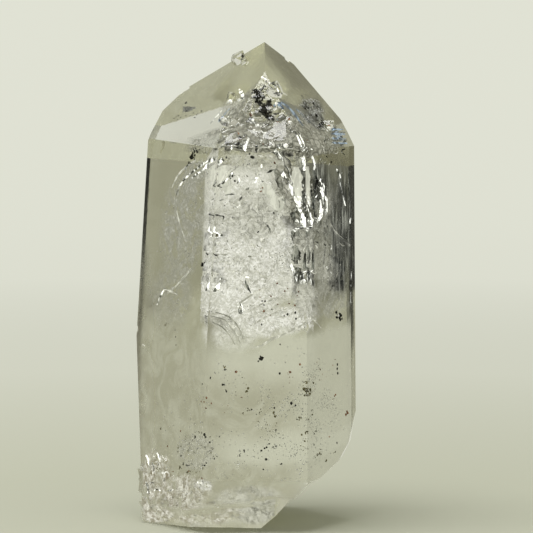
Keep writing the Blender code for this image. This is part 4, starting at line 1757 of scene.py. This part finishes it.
SPOTS = {
    Grain.BLACK: (
        Spot(257, 94, 1.9, 0.4, 34, 4.6, 1.3, 60), Spot(259, 102, 1.5, 0.4, 24, 3.6, 1.6, 50),
        Spot(263, 97, 1.2, 0.5, 16, 4), Spot(269, 103, 1.6, 0.4, 34, 4), Spot(263, 108, 2, 0.4, 46, 5),
        Spot(267, 113, 1.8, 0.4, 34, 4.4), Spot(270, 117, 1.2, 0.5, 14, 3.6, 1, 70),
        Spot(264, 88, 1, 0.5, 22, 4.4, 1.8, -30), Spot(278, 94, 1, 0.5, 10, 2),
        Spot(270, 92, 0.8, 0.5, 16, 5), Spot(239, 137, 1.6, 1.2, 5, 2.4), Spot(238, 143, 1.6, 1.2, 5, 3),
        Spot(245, 137, 1.3, 1.2, 5, 2.6, 1.6), Spot(196, 151, 1.3, 1.6, 20, 3.2),
        Spot(193, 157, 1.5, 1.6, 26, 3.2, 1), Spot(189.5, 163, 1, 1.6, 10, 2.4),
        Spot(186, 102.5, 1.3, 0.4, 2, 0.6), Spot(178, 116.5, 1.2, 2.5, 6, 4, 2, -10),
        Spot(196, 114, 1.2, 2, 7, 4.5, 2, -22), Spot(307, 103, 1.3, 0.4, 8, 4, 1.6),
        Spot(306, 107, 1.9, 0.4, 12, 4.6), Spot(315, 108, 1.7, 0.4, 10, 4.4),
        Spot(316, 118, 1.8, 0.4, 12, 5, 1.4, 35), Spot(319, 124, 1.4, 0.4, 6, 3),
        Spot(306, 96, 1, 0.4, 5, 3, 1.6), Spot(226.4, 157.6, 1, 0.4), Spot(252, 157, 1.6, 0.6, 4, 1.6),
        Spot(249.6, 154, 0.8, 0.6), Spot(232, 175.5, 0.9, 0.7, 4, 2.2), Spot(234.8, 181, 0.9, 0.7),
        Spot(230.5, 178, 0.7, 0.7), Spot(299, 151, 1, 1, 2, 0.8), Spot(327.5, 156.5, 1.1, 1, 3, 2, 1),
        Spot(331, 162, 1.3, 1, 2, 1), Spot(260.8, 357.9, 1.7, 0.5, 5, 1.8),
        Spot(258.5, 360.5, 1.1, 0.5, 2, 1), Spot(337.6, 364.5, 1.4, 0.5, 3, 0.8),
        Spot(337.3, 369, 1.6, 0.5, 2, 0.6), Spot(337.7, 373.5, 1.5, 0.5, 2, 0.5),
        Spot(280.1, 344.5, 0.9, 0.6), Spot(225, 370, 1.1, 0.6, 3, 1.2), Spot(210.3, 377.9, 1, 0.6),
        Spot(202.2, 384, 0.9, 0.6), Spot(223.6, 385, 1, 0.6, 3, 1.4), Spot(225.4, 391, 0.9, 0.6, 3, 1.6),
        Spot(279.5, 373.6, 1.1, 0.5, 2, 0.8), Spot(290.8, 403.1, 1.2, 0.5, 2, 0.7),
        Spot(295.5, 405.5, 0.8, 0.5), Spot(274.4, 407.9, 0.9, 0.6), Spot(275.8, 430, 0.9, 0.6),
        Spot(316.5, 431, 1.2, 0.5, 2, 1), Spot(314.4, 433.7, 0.9, 0.5), Spot(337, 442.9, 1.1, 0.4),
        Spot(314.1, 444.7, 0.9, 0.5), Spot(261.3, 450.5, 1, 0.5), Spot(264.5, 448.9, 0.9, 0.5, 2, 0.8),
        Spot(266.6, 447.3, 1.1, 0.5), Spot(272.9, 447.1, 0.8, 0.5), Spot(276, 446.3, 0.7, 0.5),
        Spot(279.7, 445, 0.7, 0.5), Spot(269.2, 443.6, 0.8, 0.5), Spot(266.6, 459.7, 1.2, 0.5, 2, 0.8),
        Spot(263.4, 469.4, 1, 0.5), Spot(281.3, 464.2, 0.9, 0.5, 2, 1),
        Spot(204.5, 434.2, 1.3, 0.6, 2, 0.6), Spot(205.5, 437.2, 1.2, 0.6),
        Spot(195.3, 437.2, 1.5, 0.6, 2, 0.6), Spot(209.7, 442.3, 0.9, 0.6), Spot(213.4, 456.3, 0.9, 0.6),
        Spot(197.6, 448.4, 0.8, 0.7), Spot(205, 447.3, 0.8, 0.7), Spot(187, 450.6, 0.8, 0.7, 2, 1.5),
        Spot(194, 452, 0.8, 0.7), Spot(181, 456, 0.9, 0.7), Spot(183, 463, 0.9, 0.7, 3, 1.5),
        Spot(189, 465.5, 1, 0.7, 4, 2.4, 2), Spot(204.5, 464.5, 1, 0.7, 4, 2.4, 2),
        Spot(165, 477.5, 1.1, 0.6), Spot(196, 486.5, 0.8, 0.6), Spot(220.3, 436.8, 0.8, 0.6, 2, 1),
        Spot(243.9, 450.5, 0.9, 0.6, 3, 1.6), Spot(239.2, 455, 0.8, 0.6, 4, 2), Spot(265, 301.3, 1.1, 0.8),
        Spot(262.1, 301.1, 0.8, 0.8), Spot(264.1, 305.1, 1, 0.8), Spot(271.8, 309.2, 0.9, 0.8),
        Spot(261.6, 324.5, 0.9, 0.8), Spot(295.3, 312.8, 1.1, 0.8, 2, 0.7), Spot(296, 318.7, 1.1, 0.8),
        Spot(287.6, 314.3, 0.9, 0.8), Spot(284.2, 315.8, 0.9, 0.8), Spot(204.2, 262.7, 1, 1, 2, 0.8),
        Spot(273.4, 213, 1, 1.5, 2, 0.8), Spot(257.8, 231.5, 0.9, 1.5, 2, 0.7),
        Spot(339.5, 316.5, 2, 0.4, 14, 2.8), Spot(336, 313.5, 1.3, 0.4, 6, 1.8),
        Spot(341, 320, 1.4, 0.4, 6, 2), Spot(175, 330, 0.9, 0.7), Spot(175.5, 337, 0.9, 0.7),
        Spot(176, 345, 0.8, 0.7), Spot(163, 102, 0.6, 0.5),
    ),
    Grain.RUST: (
        Spot(267, 81.5, 0.9, 0.4), Spot(272, 106, 1.3, 0.6, 4, 1.6), Spot(250.5, 115, 1, 0.6, 3, 1.4),
        Spot(277.6, 122.5, 0.9, 0.6, 2, 0.8), Spot(263.3, 144, 0.8, 0.6), Spot(240, 141, 0.9, 1.1, 4, 2.6),
        Spot(238.5, 134, 0.9, 1.1, 3, 1.8), Spot(290, 119, 0.8, 0.7, 2, 0.8),
        Spot(329, 124.5, 0.8, 0.4, 3, 1.6), Spot(308, 140, 0.9, 0.8, 2, 1), Spot(275, 163, 0.9, 1, 2, 1),
        Spot(261.6, 190, 0.7, 1.5, 6, 3.4, 0.3), Spot(235.8, 371.6, 1.3, 0.5, 3, 0.9),
        Spot(290.2, 371.9, 1.2, 0.5, 2, 0.6), Spot(300, 364.4, 1, 0.5), Spot(317, 362.3, 0.7, 0.5),
        Spot(320.2, 369.5, 0.8, 0.5), Spot(332.8, 365.3, 0.8, 0.5), Spot(335.2, 359.5, 0.7, 0.5),
        Spot(335, 395.2, 1.3, 0.5, 3, 1), Spot(333, 399, 0.8, 0.5), Spot(346.5, 413.7, 1.6, 0.4, 6, 2.6),
        Spot(329.2, 436.8, 1, 0.5), Spot(206, 397.5, 0.9, 0.6, 3, 1), Spot(201.5, 402, 0.7, 0.6, 2, 1),
        Spot(210.5, 403, 0.7, 0.6, 2, 1), Spot(206, 408, 0.7, 0.6, 2, 1.2), Spot(277.3, 283.5, 0.8, 0.7),
        Spot(284.9, 291.6, 0.7, 0.7, 2, 1), Spot(287.6, 288.7, 0.6, 0.7), Spot(298.5, 291.7, 0.9, 0.7),
        Spot(297.2, 295.6, 0.6, 0.7), Spot(270.8, 296.3, 0.8, 0.7), Spot(259.7, 289.8, 0.7, 0.7),
        Spot(260, 297.1, 0.7, 0.7), Spot(289.1, 303.6, 0.8, 0.7), Spot(277.7, 304.3, 0.8, 0.7),
        Spot(294.9, 305.5, 0.8, 0.7), Spot(263.9, 311.2, 0.9, 0.7), Spot(270, 315.4, 0.7, 0.7),
        Spot(167.5, 446.3, 0.8, 0.6), Spot(161, 446, 0.5, 0.6), Spot(202, 478.5, 1, 0.5),
        Spot(173, 471.5, 0.8, 0.6), Spot(189, 471, 0.9, 0.6, 2, 1), Spot(152, 478, 0.7, 0.5, 6, 5),
        Spot(170, 492, 0.7, 0.5, 6, 6), Spot(240, 400, 0.55, 0.6, 10, 16), Spot(180.5, 431, 0.8, 0.6),
        Spot(290.5, 378, 0.6, 0.6, 9, 9), Spot(318, 375, 0.6, 0.6, 9, 9),
    ),
    Grain.OLIVE: (
        Spot(307.6, 390.5, 1.5, 0.7, 14, 4.6), Spot(304, 388, 1.1, 0.7, 7, 3.4),
        Spot(309.5, 394, 1.1, 0.7, 8, 3.4), Spot(155, 468, 0.9, 0.5, 8, 6), Spot(166, 482, 0.9, 0.5, 10, 7),
        Spot(150, 498, 0.9, 0.5, 8, 6), Spot(176, 500, 0.8, 0.5, 10, 8),
        Spot(196, 470, 0.8, 0.6, 12, 8, 1.6), Spot(313.5, 383, 1, 0.7, 4, 1.6, 0.5),
        Spot(306, 381.5, 0.9, 0.7, 4, 2), Spot(246.6, 391.6, 1.2, 0.7, 4, 1.8, 0.5, 30),
        Spot(248, 388.4, 1, 0.7, 2, 0.8), Spot(273.8, 412.6, 1.1, 0.7, 5, 2.2, 0.4),
        Spot(275.5, 416.3, 1.1, 0.7, 3, 1.2), Spot(248, 408.9, 0.8, 0.8, 4, 2.4),
        Spot(243, 412.6, 0.8, 0.8, 3, 1.6), Spot(258, 410.5, 0.9, 0.8, 6, 3.4, 2),
        Spot(312.3, 410, 0.9, 0.7, 3, 1.4), Spot(312.3, 414.7, 1, 0.7, 3, 1.4),
        Spot(308.6, 419.4, 0.8, 0.7, 3, 1.4), Spot(299.5, 418.5, 0.8, 0.7, 5, 2.4),
        Spot(301.8, 435.2, 1, 0.6, 2, 0.8), Spot(304.4, 440, 1, 0.6, 4, 1.8),
        Spot(308, 432.6, 1, 0.6, 3, 1.2), Spot(319.7, 454.7, 1.2, 0.5, 7, 3),
        Spot(313.9, 456.8, 0.9, 0.5, 4, 2), Spot(326, 461, 0.9, 0.5, 3, 1.6),
        Spot(322, 449, 0.7, 0.5, 6, 4), Spot(335, 452, 0.8, 0.5, 4, 2), Spot(225, 367.5, 0.9, 0.7, 4, 2.4),
        Spot(189, 471.5, 1.1, 0.6, 3, 1.2, 2), Spot(180, 468, 1, 0.7, 8, 3, 0.5),
        Spot(186, 442, 1, 0.9, 10, 6, 2, -30), Spot(200, 434, 0.9, 0.9, 8, 5, 2, 5),
        Spot(212, 450, 0.9, 0.9, 8, 5, 0.4), Spot(178, 448, 0.8, 0.9, 6, 4, 0.4),
        Spot(162, 500, 0.9, 0.5, 5, 3, 2), Spot(216.8, 235.3, 1.2, 1.2, 4, 2, 0.4),
        Spot(238, 385, 0.6, 0.8, 10, 12), Spot(265, 425, 0.6, 0.8, 12, 14),
        Spot(300, 450, 0.6, 0.8, 12, 12), Spot(161, 428, 1, 0.8, 3, 1.6, 0.4),
        Spot(152, 305, 0.9, 0.6, 6, 2.4), Spot(165, 325, 0.7, 0.6, 8, 3.4),
    ),
    # Pale flakes whose strong glow is a painted glint
    Grain.SNOW: (
        Spot(230, 101, 2.6, 0.3, 6, 2.4, 2), Spot(240, 100.5, 1.8, 0.3, 4, 2.4, 2),
        Spot(275.5, 104, 1.6, 0.3, 3, 1.2), Spot(290.5, 122.5, 2, 0.3, 3, 0.9, 0.6),
        Spot(285.3, 145.5, 2.6, 0.5, 4, 1.4), Spot(272, 144, 1.6, 0.5, 6, 2.6, 2, -35),
        Spot(333, 121, 1.2, 0.3), Spot(329, 129, 2, 0.3, 4, 1.6, 1.8),
        Spot(262, 239.3, 2.2, 1, 4, 1.6, 1.8), Spot(294.9, 244.5, 1.6, 1, 2, 0.6),
        Spot(219, 243, 1.4, 1, 3, 1, 2), Spot(325.5, 226, 1.1, 1), Spot(346, 283.5, 1, 0.6),
        Spot(163, 456.5, 1.4, 0.5, 4, 1.6, 0.5), Spot(148.5, 459, 1.2, 0.5, 4, 1.4, 0.5),
        Spot(154, 456, 1.2, 0.5, 3, 1.4, 0.5), Spot(147.5, 486.5, 1.1, 0.4), Spot(152, 467, 1, 0.5, 5, 2.4),
        Spot(240, 308, 1.5, 0.8, 6, 2.4, 0.6), Spot(248, 306, 1.2, 0.8, 3, 1.2),
        Spot(282, 308.5, 1.2, 0.8, 2, 0.8), Spot(262, 310, 0.7, 0.8, 14, 10),
        Spot(234, 328, 0.7, 0.8, 12, 9), Spot(339, 316, 1.2, 0.3, 3, 1.8), Spot(143, 345, 1, 0.3, 4, 1.8),
        Spot(205, 485, 2, 0.4, 6, 3.4, 1.8, 30),
    ),
}

FLAWS = (
    FlawField(250, 205, 36, 42, 46, 3.6, 11),
    FlawField(246, 262, 38, 24, 26, 3.6, 12, 7, 0.8),
    FlawField(262, 140, 34, 18, 22, 2.2, 13, 6, 0.8),
    FlawField(311, 111, 11, 13, 18, 0.8, 18, 6, 0.9, 40, (Sheen.SHADE, Sheen.DUSK, Sheen.SHADE)),
    FlawField(327, 255, 20, 34, 34, 2.8, 14, 7, 0.8, -80),
    FlawField(328, 150, 16, 14, 14, 1.8, 15, 6, 0.8, -40),
    FlawField(186, 215, 20, 44, 16, 3.6, 16, 8, 0.6, -60, (Sheen.FAINT, Sheen.DUSK, Sheen.FAINT)),
    FlawField(160, 490, 16, 26, 26, 0.4, 17, 6, 0.8, -50,
              (Sheen.PAINTED_HIGHLIGHT, Sheen.DUSK, Sheen.FAINT, Sheen.DUSK)),
)

CRACKS = (
    # Thin arcs in the middle
    Crack(((211, 316, 0.3), (224, 320, 0.6), (234, 330, 0.6, 10), (240, 343, 0.3)), 2.8, Sheen.DUSK),
    Crack(((215, 312, 0.3), (229, 317, 0.6), (239, 328, 0.6, 10), (243, 340, 0.3)), 2.8, Sheen.DUSK),
    Crack(((212, 322, 0.3), (222, 327, 0.5), (230, 336, 0.5, 10), (235, 345, 0.3)), 2.8, Sheen.DUSK),
    Crack(((217, 318, 0.3), (230, 324, 0.7), (238, 336, 0.5, 10)), 2.6, Sheen.FAINT),
    Crack(((237, 163, 0.3), (228, 171, 0.8, 20), (221, 181, 0.8, 10), (217, 190, 0.3)), 3, Sheen.FAINT),
    Crack(((239, 165, 0.3), (230, 174, 0.6, 20), (223, 184, 0.5, 10)), 3, Sheen.DUSK),
    Crack(((245, 280, 0.4), (247, 286, 1, 20), (251, 293, 0.5, 10)), 3, Sheen.SHADE),
    Crack(((236, 306, 0.3), (250, 296, 0.8, 20), (266, 288, 0.3)), 3, Sheen.FAINT),
    Crack(((242, 316, 0.3), (262, 304, 0.8, 20), (282, 296, 0.3)), 3, Sheen.FAINT),
    Crack(((250, 326, 0.3), (268, 316, 0.7, 20), (290, 306, 0.3)), 3, Sheen.FAINT),
    # Broad facets with a flat painted reflection
    Crack(((220, 167, 4), (224, 176, 6), (227, 186, 5), (228, 194, 2)), 3.8, Sheen.PAINTED_REFLECTION, 0.05),
    Crack(((296, 167, 3), (297, 180, 3.4), (298, 192, 3), (299, 201, 1.6)), 3.6, Sheen.PAINTED_REFLECTION, 0.05),
    Crack(((262, 184, 2), (270, 193, 5), (277, 203, 6), (281, 211, 3)), 3.8, Sheen.PAINTED_REFLECTION, 0.05),
    # Painted highlights and painted shade in cracks behind the right face, faint painted glows on the left
    Crack(((308, 196, 1.6, 10), (307, 206, 2.4, 30), (309, 215, 2.4, 20), (313, 222, 1.4)), 3),
    Crack(((319, 186, 1.4), (323, 195, 2.4, 20), (324, 206, 2.6, 35), (321, 216, 2, 10), (317, 222, 1)), 3),
    Crack(((312, 190, 1), (313, 200, 2, 20), (314, 210, 1.6), (315, 217, 0.8)), 3.2, Sheen.SHADE),
    Crack(((315, 175, 1.2), (317, 180, 2.2, 20), (318, 186, 1.2)), 3.4, Sheen.SHADE),
    Crack(((302, 190, 1), (304, 200, 2.2, 20), (306, 212, 1.8), (308, 224, 1)), 4.4, Sheen.SHADE),
    Crack(((330, 224, 1.2, 10), (335, 232, 1.6, 20), (343, 240, 1.6, 10), (350, 246, 1)), 3, Sheen.FAINT),
    Crack(((172, 188, 0.6, 10), (177, 177, 1.2, 30), (185, 168, 1.4, 20), (196, 160, 0.8)), 2.6,
           Sheen.FAINT),
    Crack(((176, 196, 0.5), (181, 184, 0.9, 20), (190, 174, 1.1, 10), (203, 164, 0.9), (214, 157, 0.5)), 3),
    Crack(((167, 294, 0.5), (175, 287, 0.9, 10), (184, 277, 1, 20), (192, 268, 0.5)), 3, Sheen.FAINT),
    Crack(((163, 289, 0.4), (170, 291, 0.7, 10), (178, 295, 0.4)), 2.8, Sheen.FAINT),
    Crack(((174, 196, 0.4), (177, 212, 0.6, 20), (181, 228, 0.6, 10), (187, 242, 0.4)), 3.2, Sheen.FAINT),
    Crack(((273, 146, 2, 10), (281, 160, 2.6, 35), (287, 171, 2.8, 60), (292, 184, 3, 25),
           (299, 198, 2.8, 50), (304, 208, 1.6, 20)), 4),
    Crack(((277, 147, 2.2, 20), (284, 158, 2.8, 40), (289, 169, 3, 30), (293, 180, 2.4, 10)), 4.6,
           Sheen.SHADE),
    Crack(((275.5, 169, 1.4), (279, 181, 2.4, 20), (282, 192, 2.2, 30), (284, 203, 1.2, 10)), 4.2,
           Sheen.SHADE),
    Crack(((282, 171, 1.2), (286, 180, 2.2, 30), (292, 191, 2.4, 15), (299, 203, 2.6, 40),
           (303, 206, 1.2, 20)), 3.8),
    Crack(((292, 178, 1.6, 30), (296, 190, 3, 45), (302, 200, 2.6, 20), (306, 212, 1.4, 20)), 4.8,
           Sheen.SHADE),
    Crack(((300, 209, 1.2, 10), (303, 219, 2.4, 30), (305, 226, 2.6, 10), (308, 231, 1)), 3.8),
    Crack(((296, 220, 1), (300, 222, 1.8, 20), (304, 224, 2, 10)), 3.8),
    Crack(((291.5, 231, 1.4), (295, 234, 3.6, 10), (296, 241, 3.6, 20), (297, 244, 1.4)), 4.2, Sheen.SHADE),
    Crack(((293, 246, 1.6), (295.5, 251, 3.6, 15), (296, 258, 3.8), (296, 264, 1.6)), 4.2, Sheen.SHADE),
    Crack(((305.5, 252, 1.6), (306, 260, 2.4, 10), (305.6, 270, 2.2)), 4, Sheen.SHADE),
    Crack(((290, 265, 1.4, 20), (294, 269, 3.6, 30), (298, 273, 3.8, 10), (302, 281, 2.6, 20),
           (304, 285, 1.2)), 3.4),
    Crack(((306, 271, 1.4), (307.4, 276, 2.2, 20), (307, 283, 1.6, 10)), 3.4),
    Crack(((311.5, 156, 1.2), (313.4, 160, 3, 20), (314.2, 166, 2.6, 10), (314, 170, 1)), 3.2),
    Crack(((310, 174, 0.8), (311.2, 183, 1.6, 25), (311, 190, 1.6), (311.4, 197, 0.8)), 3.2),
    Crack(((320, 179, 1), (322.4, 184, 2.8, 25), (323, 190, 2), (322, 194, 0.8)), 3.4),
    Crack(((318, 194, 0.8), (314.4, 200, 1.6, 20), (313.4, 209, 1.8, 30), (315, 217, 1.4, 20),
           (317, 221, 0.8)), 3.4),
    Crack(((319, 197, 1), (321, 203, 2.4, 30), (320.5, 211, 1.4, 10), (320, 219, 1)), 3.4),
    Crack(((323, 193, 0.8), (326.6, 200, 1.6, 20), (327, 208, 2, 25), (325, 215, 1.4)), 3.4),
    Crack(((313, 170, 1.4), (316, 180, 2.6, 20), (315, 191, 2.4, 40), (314, 196, 1.2)), 4.4, Sheen.SHADE),
    Crack(((323, 222, 1.6), (327, 229, 3.6, 25), (326.4, 236, 2.8, 10), (327, 240, 1)), 4, Sheen.SHADE),
    Crack(((332, 222, 0.8), (331, 228, 1.6), (329, 233, 1)), 4, Sheen.SHADE),
    Crack(((325, 247, 1.4), (323.6, 256, 2.2, 20), (323, 266, 1.4, 10)), 4, Sheen.SHADE),
    Crack(((336.6, 169, 0.8), (338.6, 173, 1.5, 20), (340.6, 178, 0.7)), 2.4),
    Crack(((339, 180, 1), (341.5, 190, 1.6, 40), (344, 200, 1.4, 20), (345, 206, 0.8)), 2.6),
    Crack(((349.6, 217, 1), (349.8, 220, 2, 20), (349.6, 224, 1)), 1.2),
    Crack(((351.6, 271, 0.6, 10), (350.8, 288, 0.9, 20), (350.6, 304, 0.6, 10)), 0.9),
    Crack(((348, 170, 1.2, 10), (349, 185, 2, 30), (349, 200, 1.4, 20)), 2, Sheen.SHADE),
    # Painted blue gleams under the tip; the ladder of steps at the right corner in painted shade and gleam
    Crack(((281, 102, 1.4), (288, 107, 3, 20), (295, 115, 2.6, 10), (303, 126, 1)), 1.6, Sheen.BLUE),
    Crack(((296, 109, 0.8), (303, 115, 1.8, 20), (310, 123, 0.8)), 1.4, Sheen.BLUE),
    Crack(((332, 132.4, 0.5), (339, 132.4, 0.9, 10), (345, 132.4, 0.5)), 0.4, Sheen.SHADE),
    Crack(((334, 140.3, 0.5), (340, 140.3, 0.9, 10), (347, 140.3, 0.5)), 0.4, Sheen.SHADE),
    Crack(((235, 106, 0.3), (231, 113, 0.6, 20), (227, 119, 0.3)), 1.2),
    Crack(((230, 108, 0.3), (224, 115, 0.6, 20), (218, 122, 0.3)), 1.2, Sheen.BLUE),
    Crack(((222, 110, 0.3), (216, 117, 0.7, 20), (209, 125, 0.3)), 1.2),
    Crack(((331, 129.2, 0.6), (337, 129.4, 1.2, 10), (343, 129.6, 0.6)), 0.3, Sheen.BLUE),
    Crack(((331, 133.8, 0.7), (338, 134, 1.5, 10), (345, 134.2, 0.8)), 0.3, Sheen.BLUE),
    Crack(((332, 138.4, 0.7), (339, 138.6, 1.5, 10), (346, 138.8, 0.8)), 0.3, Sheen.BLUE),
    Crack(((332, 142.8, 0.7), (340, 143, 1.4, 10), (347, 143.2, 0.7)), 0.3, Sheen.BLUE),
    # Short cracks all over
    Crack(((294, 128, 0.9), (299, 139, 1.2, 10), (304, 149, 1)), 1.6),
    Crack(((185, 170, 0.7, 10), (187, 166, 1.4, 30), (189, 164, 0.8)), 2),
    Crack(((203, 170, 0.6, 10), (209, 163, 1.8, 30), (215, 158.5, 1)), 3),
    Crack(((192, 178, 0.8), (201, 171, 1.2, 10), (209, 166, 0.6)), 3.2),
    Crack(((216, 187, 0.6), (225, 181, 0.9, 10), (233, 173, 0.8)), 2),
    Crack(((157, 305, 0.6), (160, 297, 1, 10), (165, 288, 0.6)), 3),
    Crack(((252, 348.5, 0.5), (262, 345.5, 0.9, 10), (272, 339, 0.9, 10), (281, 335.5, 0.7)), 0.9,
           Sheen.FAINT),
    Crack(((281, 335.5, 0.7), (292, 330, 0.8, 10), (302, 325, 0.8, 10), (311, 317.5, 0.6)), 0.9,
           Sheen.FAINT),
    Crack(((311, 317.5, 0.3), (316, 322, 0.6, 20), (321, 328, 0.4, 20)), 0.9, Sheen.FAINT),
    Crack(((254, 268, 0.7), (261, 275, 1.2, 20), (267, 279, 0.8)), 3.4, Sheen.FAINT),
    Crack(((238, 303, 1.6, 10), (241, 308, 2.6, 20), (240, 314, 2)), 3.6),
    Crack(((213, 291, 1, 10), (217, 288, 1.8, 30), (221, 283, 0.8)), 3.4),
    Crack(((215, 226, 0.8), (213, 236, 1.4, 20), (215, 246, 1.2)), 2.6),
    Crack(((262, 77, 0.4), (269, 81, 0.7, 20), (276, 87, 0.7, 30), (280, 95, 0.5)), 0.5),
    Crack(((146, 455, 0.8), (148.5, 461, 1.6, 20), (149, 467, 0.8)), 0.3),
    Crack(((157, 453, 0.8), (159.5, 457, 1.6, 20), (160, 462, 0.8)), 0.3),
    Crack(((152, 462, 0.6), (154, 468, 1.3, 20), (153, 474, 0.6)), 0.3),
    Crack(((146, 482, 0.6), (148, 488, 1.3, 20), (148, 494, 0.6)), 0.3),
    Crack(((239, 89, 0.8), (242, 94, 1.6, 30), (243, 99, 1)), 0.8),
    Crack(((231, 146, 0.8), (239, 147, 1.6, 20), (245, 146, 1.4), (249, 138, 0.8)), 1.4),
    Crack(((247, 120, 1.2), (251, 121, 2, 20), (252, 117, 1)), 1),
    Crack(((260, 124, 0.8), (265, 124.5, 1.6, 30), (271, 124.5, 0.8)), 1),
)


@dataclass
class Stage:
    """The pale floor, round and turned up at its rim, and the light."""

    floor_radius: float = 0.62
    bend_radius: float = 0.38
    wall_height: float = 1.1
    bend_steps: int = 16
    sides: int = 96
    hub: float = 0.001
    lamp_place: Colour = (-0.15, -0.1, 0.7)
    lamp_size: float = 0.5
    lamp_power: float = 5.0

    def build(self) -> None:
        """Adds the floor, the surroundings and the lamp."""
        bm = bmesh.new()
        line = [bm.verts.new((reach, 0, height)) for reach, height in self.profile()]
        edges = [bm.edges.new(pair) for pair in zip(line, line[1:])]
        bmesh.ops.spin(bm, geom=line + edges, axis=(0, 0, 1), cent=(0, 0, 0),
                       angle=2 * math.pi, steps=self.sides, use_merge=True)
        for face in bm.faces:
            face.smooth = True
        floor = placed("stage", kept_mesh(bm, "stage", PaleStage().material()))
        floor.visible_transmission = False
        floor.visible_glossy = False
        floor.visible_diffuse = False
        floor.visible_shadow = False
        Surroundings().build()
        self.add_softbox("overhead softbox")

    def profile(self) -> list[Span]:
        """The floor's cross section, from its middle to the top of its wall.

        Returns:
            Each point's reach and height.
        """
        line = [(self.hub, 0.0), (self.floor_radius / 3, 0.0), (self.floor_radius, 0.0)]
        for step in range(1, self.bend_steps + 1):
            angle = math.pi / 2 * step / self.bend_steps
            line.append((self.floor_radius + self.bend_radius * math.sin(angle),
                         self.bend_radius * (1 - math.cos(angle))))
        line.append((self.floor_radius + self.bend_radius, self.wall_height))
        return line

    def add_softbox(self, name: str) -> None:
        """Adds a square soft lamp that faces the crystal's foot.

        Args:
            name: The lamp's name.
        """
        lamp = bpy.data.lights.new(name, "AREA")
        lamp.size = self.lamp_size
        lamp.energy = self.lamp_power
        item = placed(name, lamp)
        item.location = self.lamp_place
        item.rotation_euler = (-Vector(self.lamp_place)).to_track_quat("-Z", "Y").to_euler()


def main() -> None:
    """Builds everything in order."""
    logging.basicConfig(level=logging.INFO, format="%(message)s")
    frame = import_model()
    bpy.context.scene.view_settings.view_transform = "Standard"
    view = PhotoView()
    view.build_camera()
    Stage().build()
    body = CrystalBody(frame["nodes"][CRYSTAL_NODE])
    view.crystal = body.shape(body.build())
    CrushedFoot(view.crystal).build()
    MilkyCloud(view.crystal).build()
    Inclusions(view, VEILS, SPOTS, CRACKS, FLAWS).build()


if __name__ == "__main__":
    main()
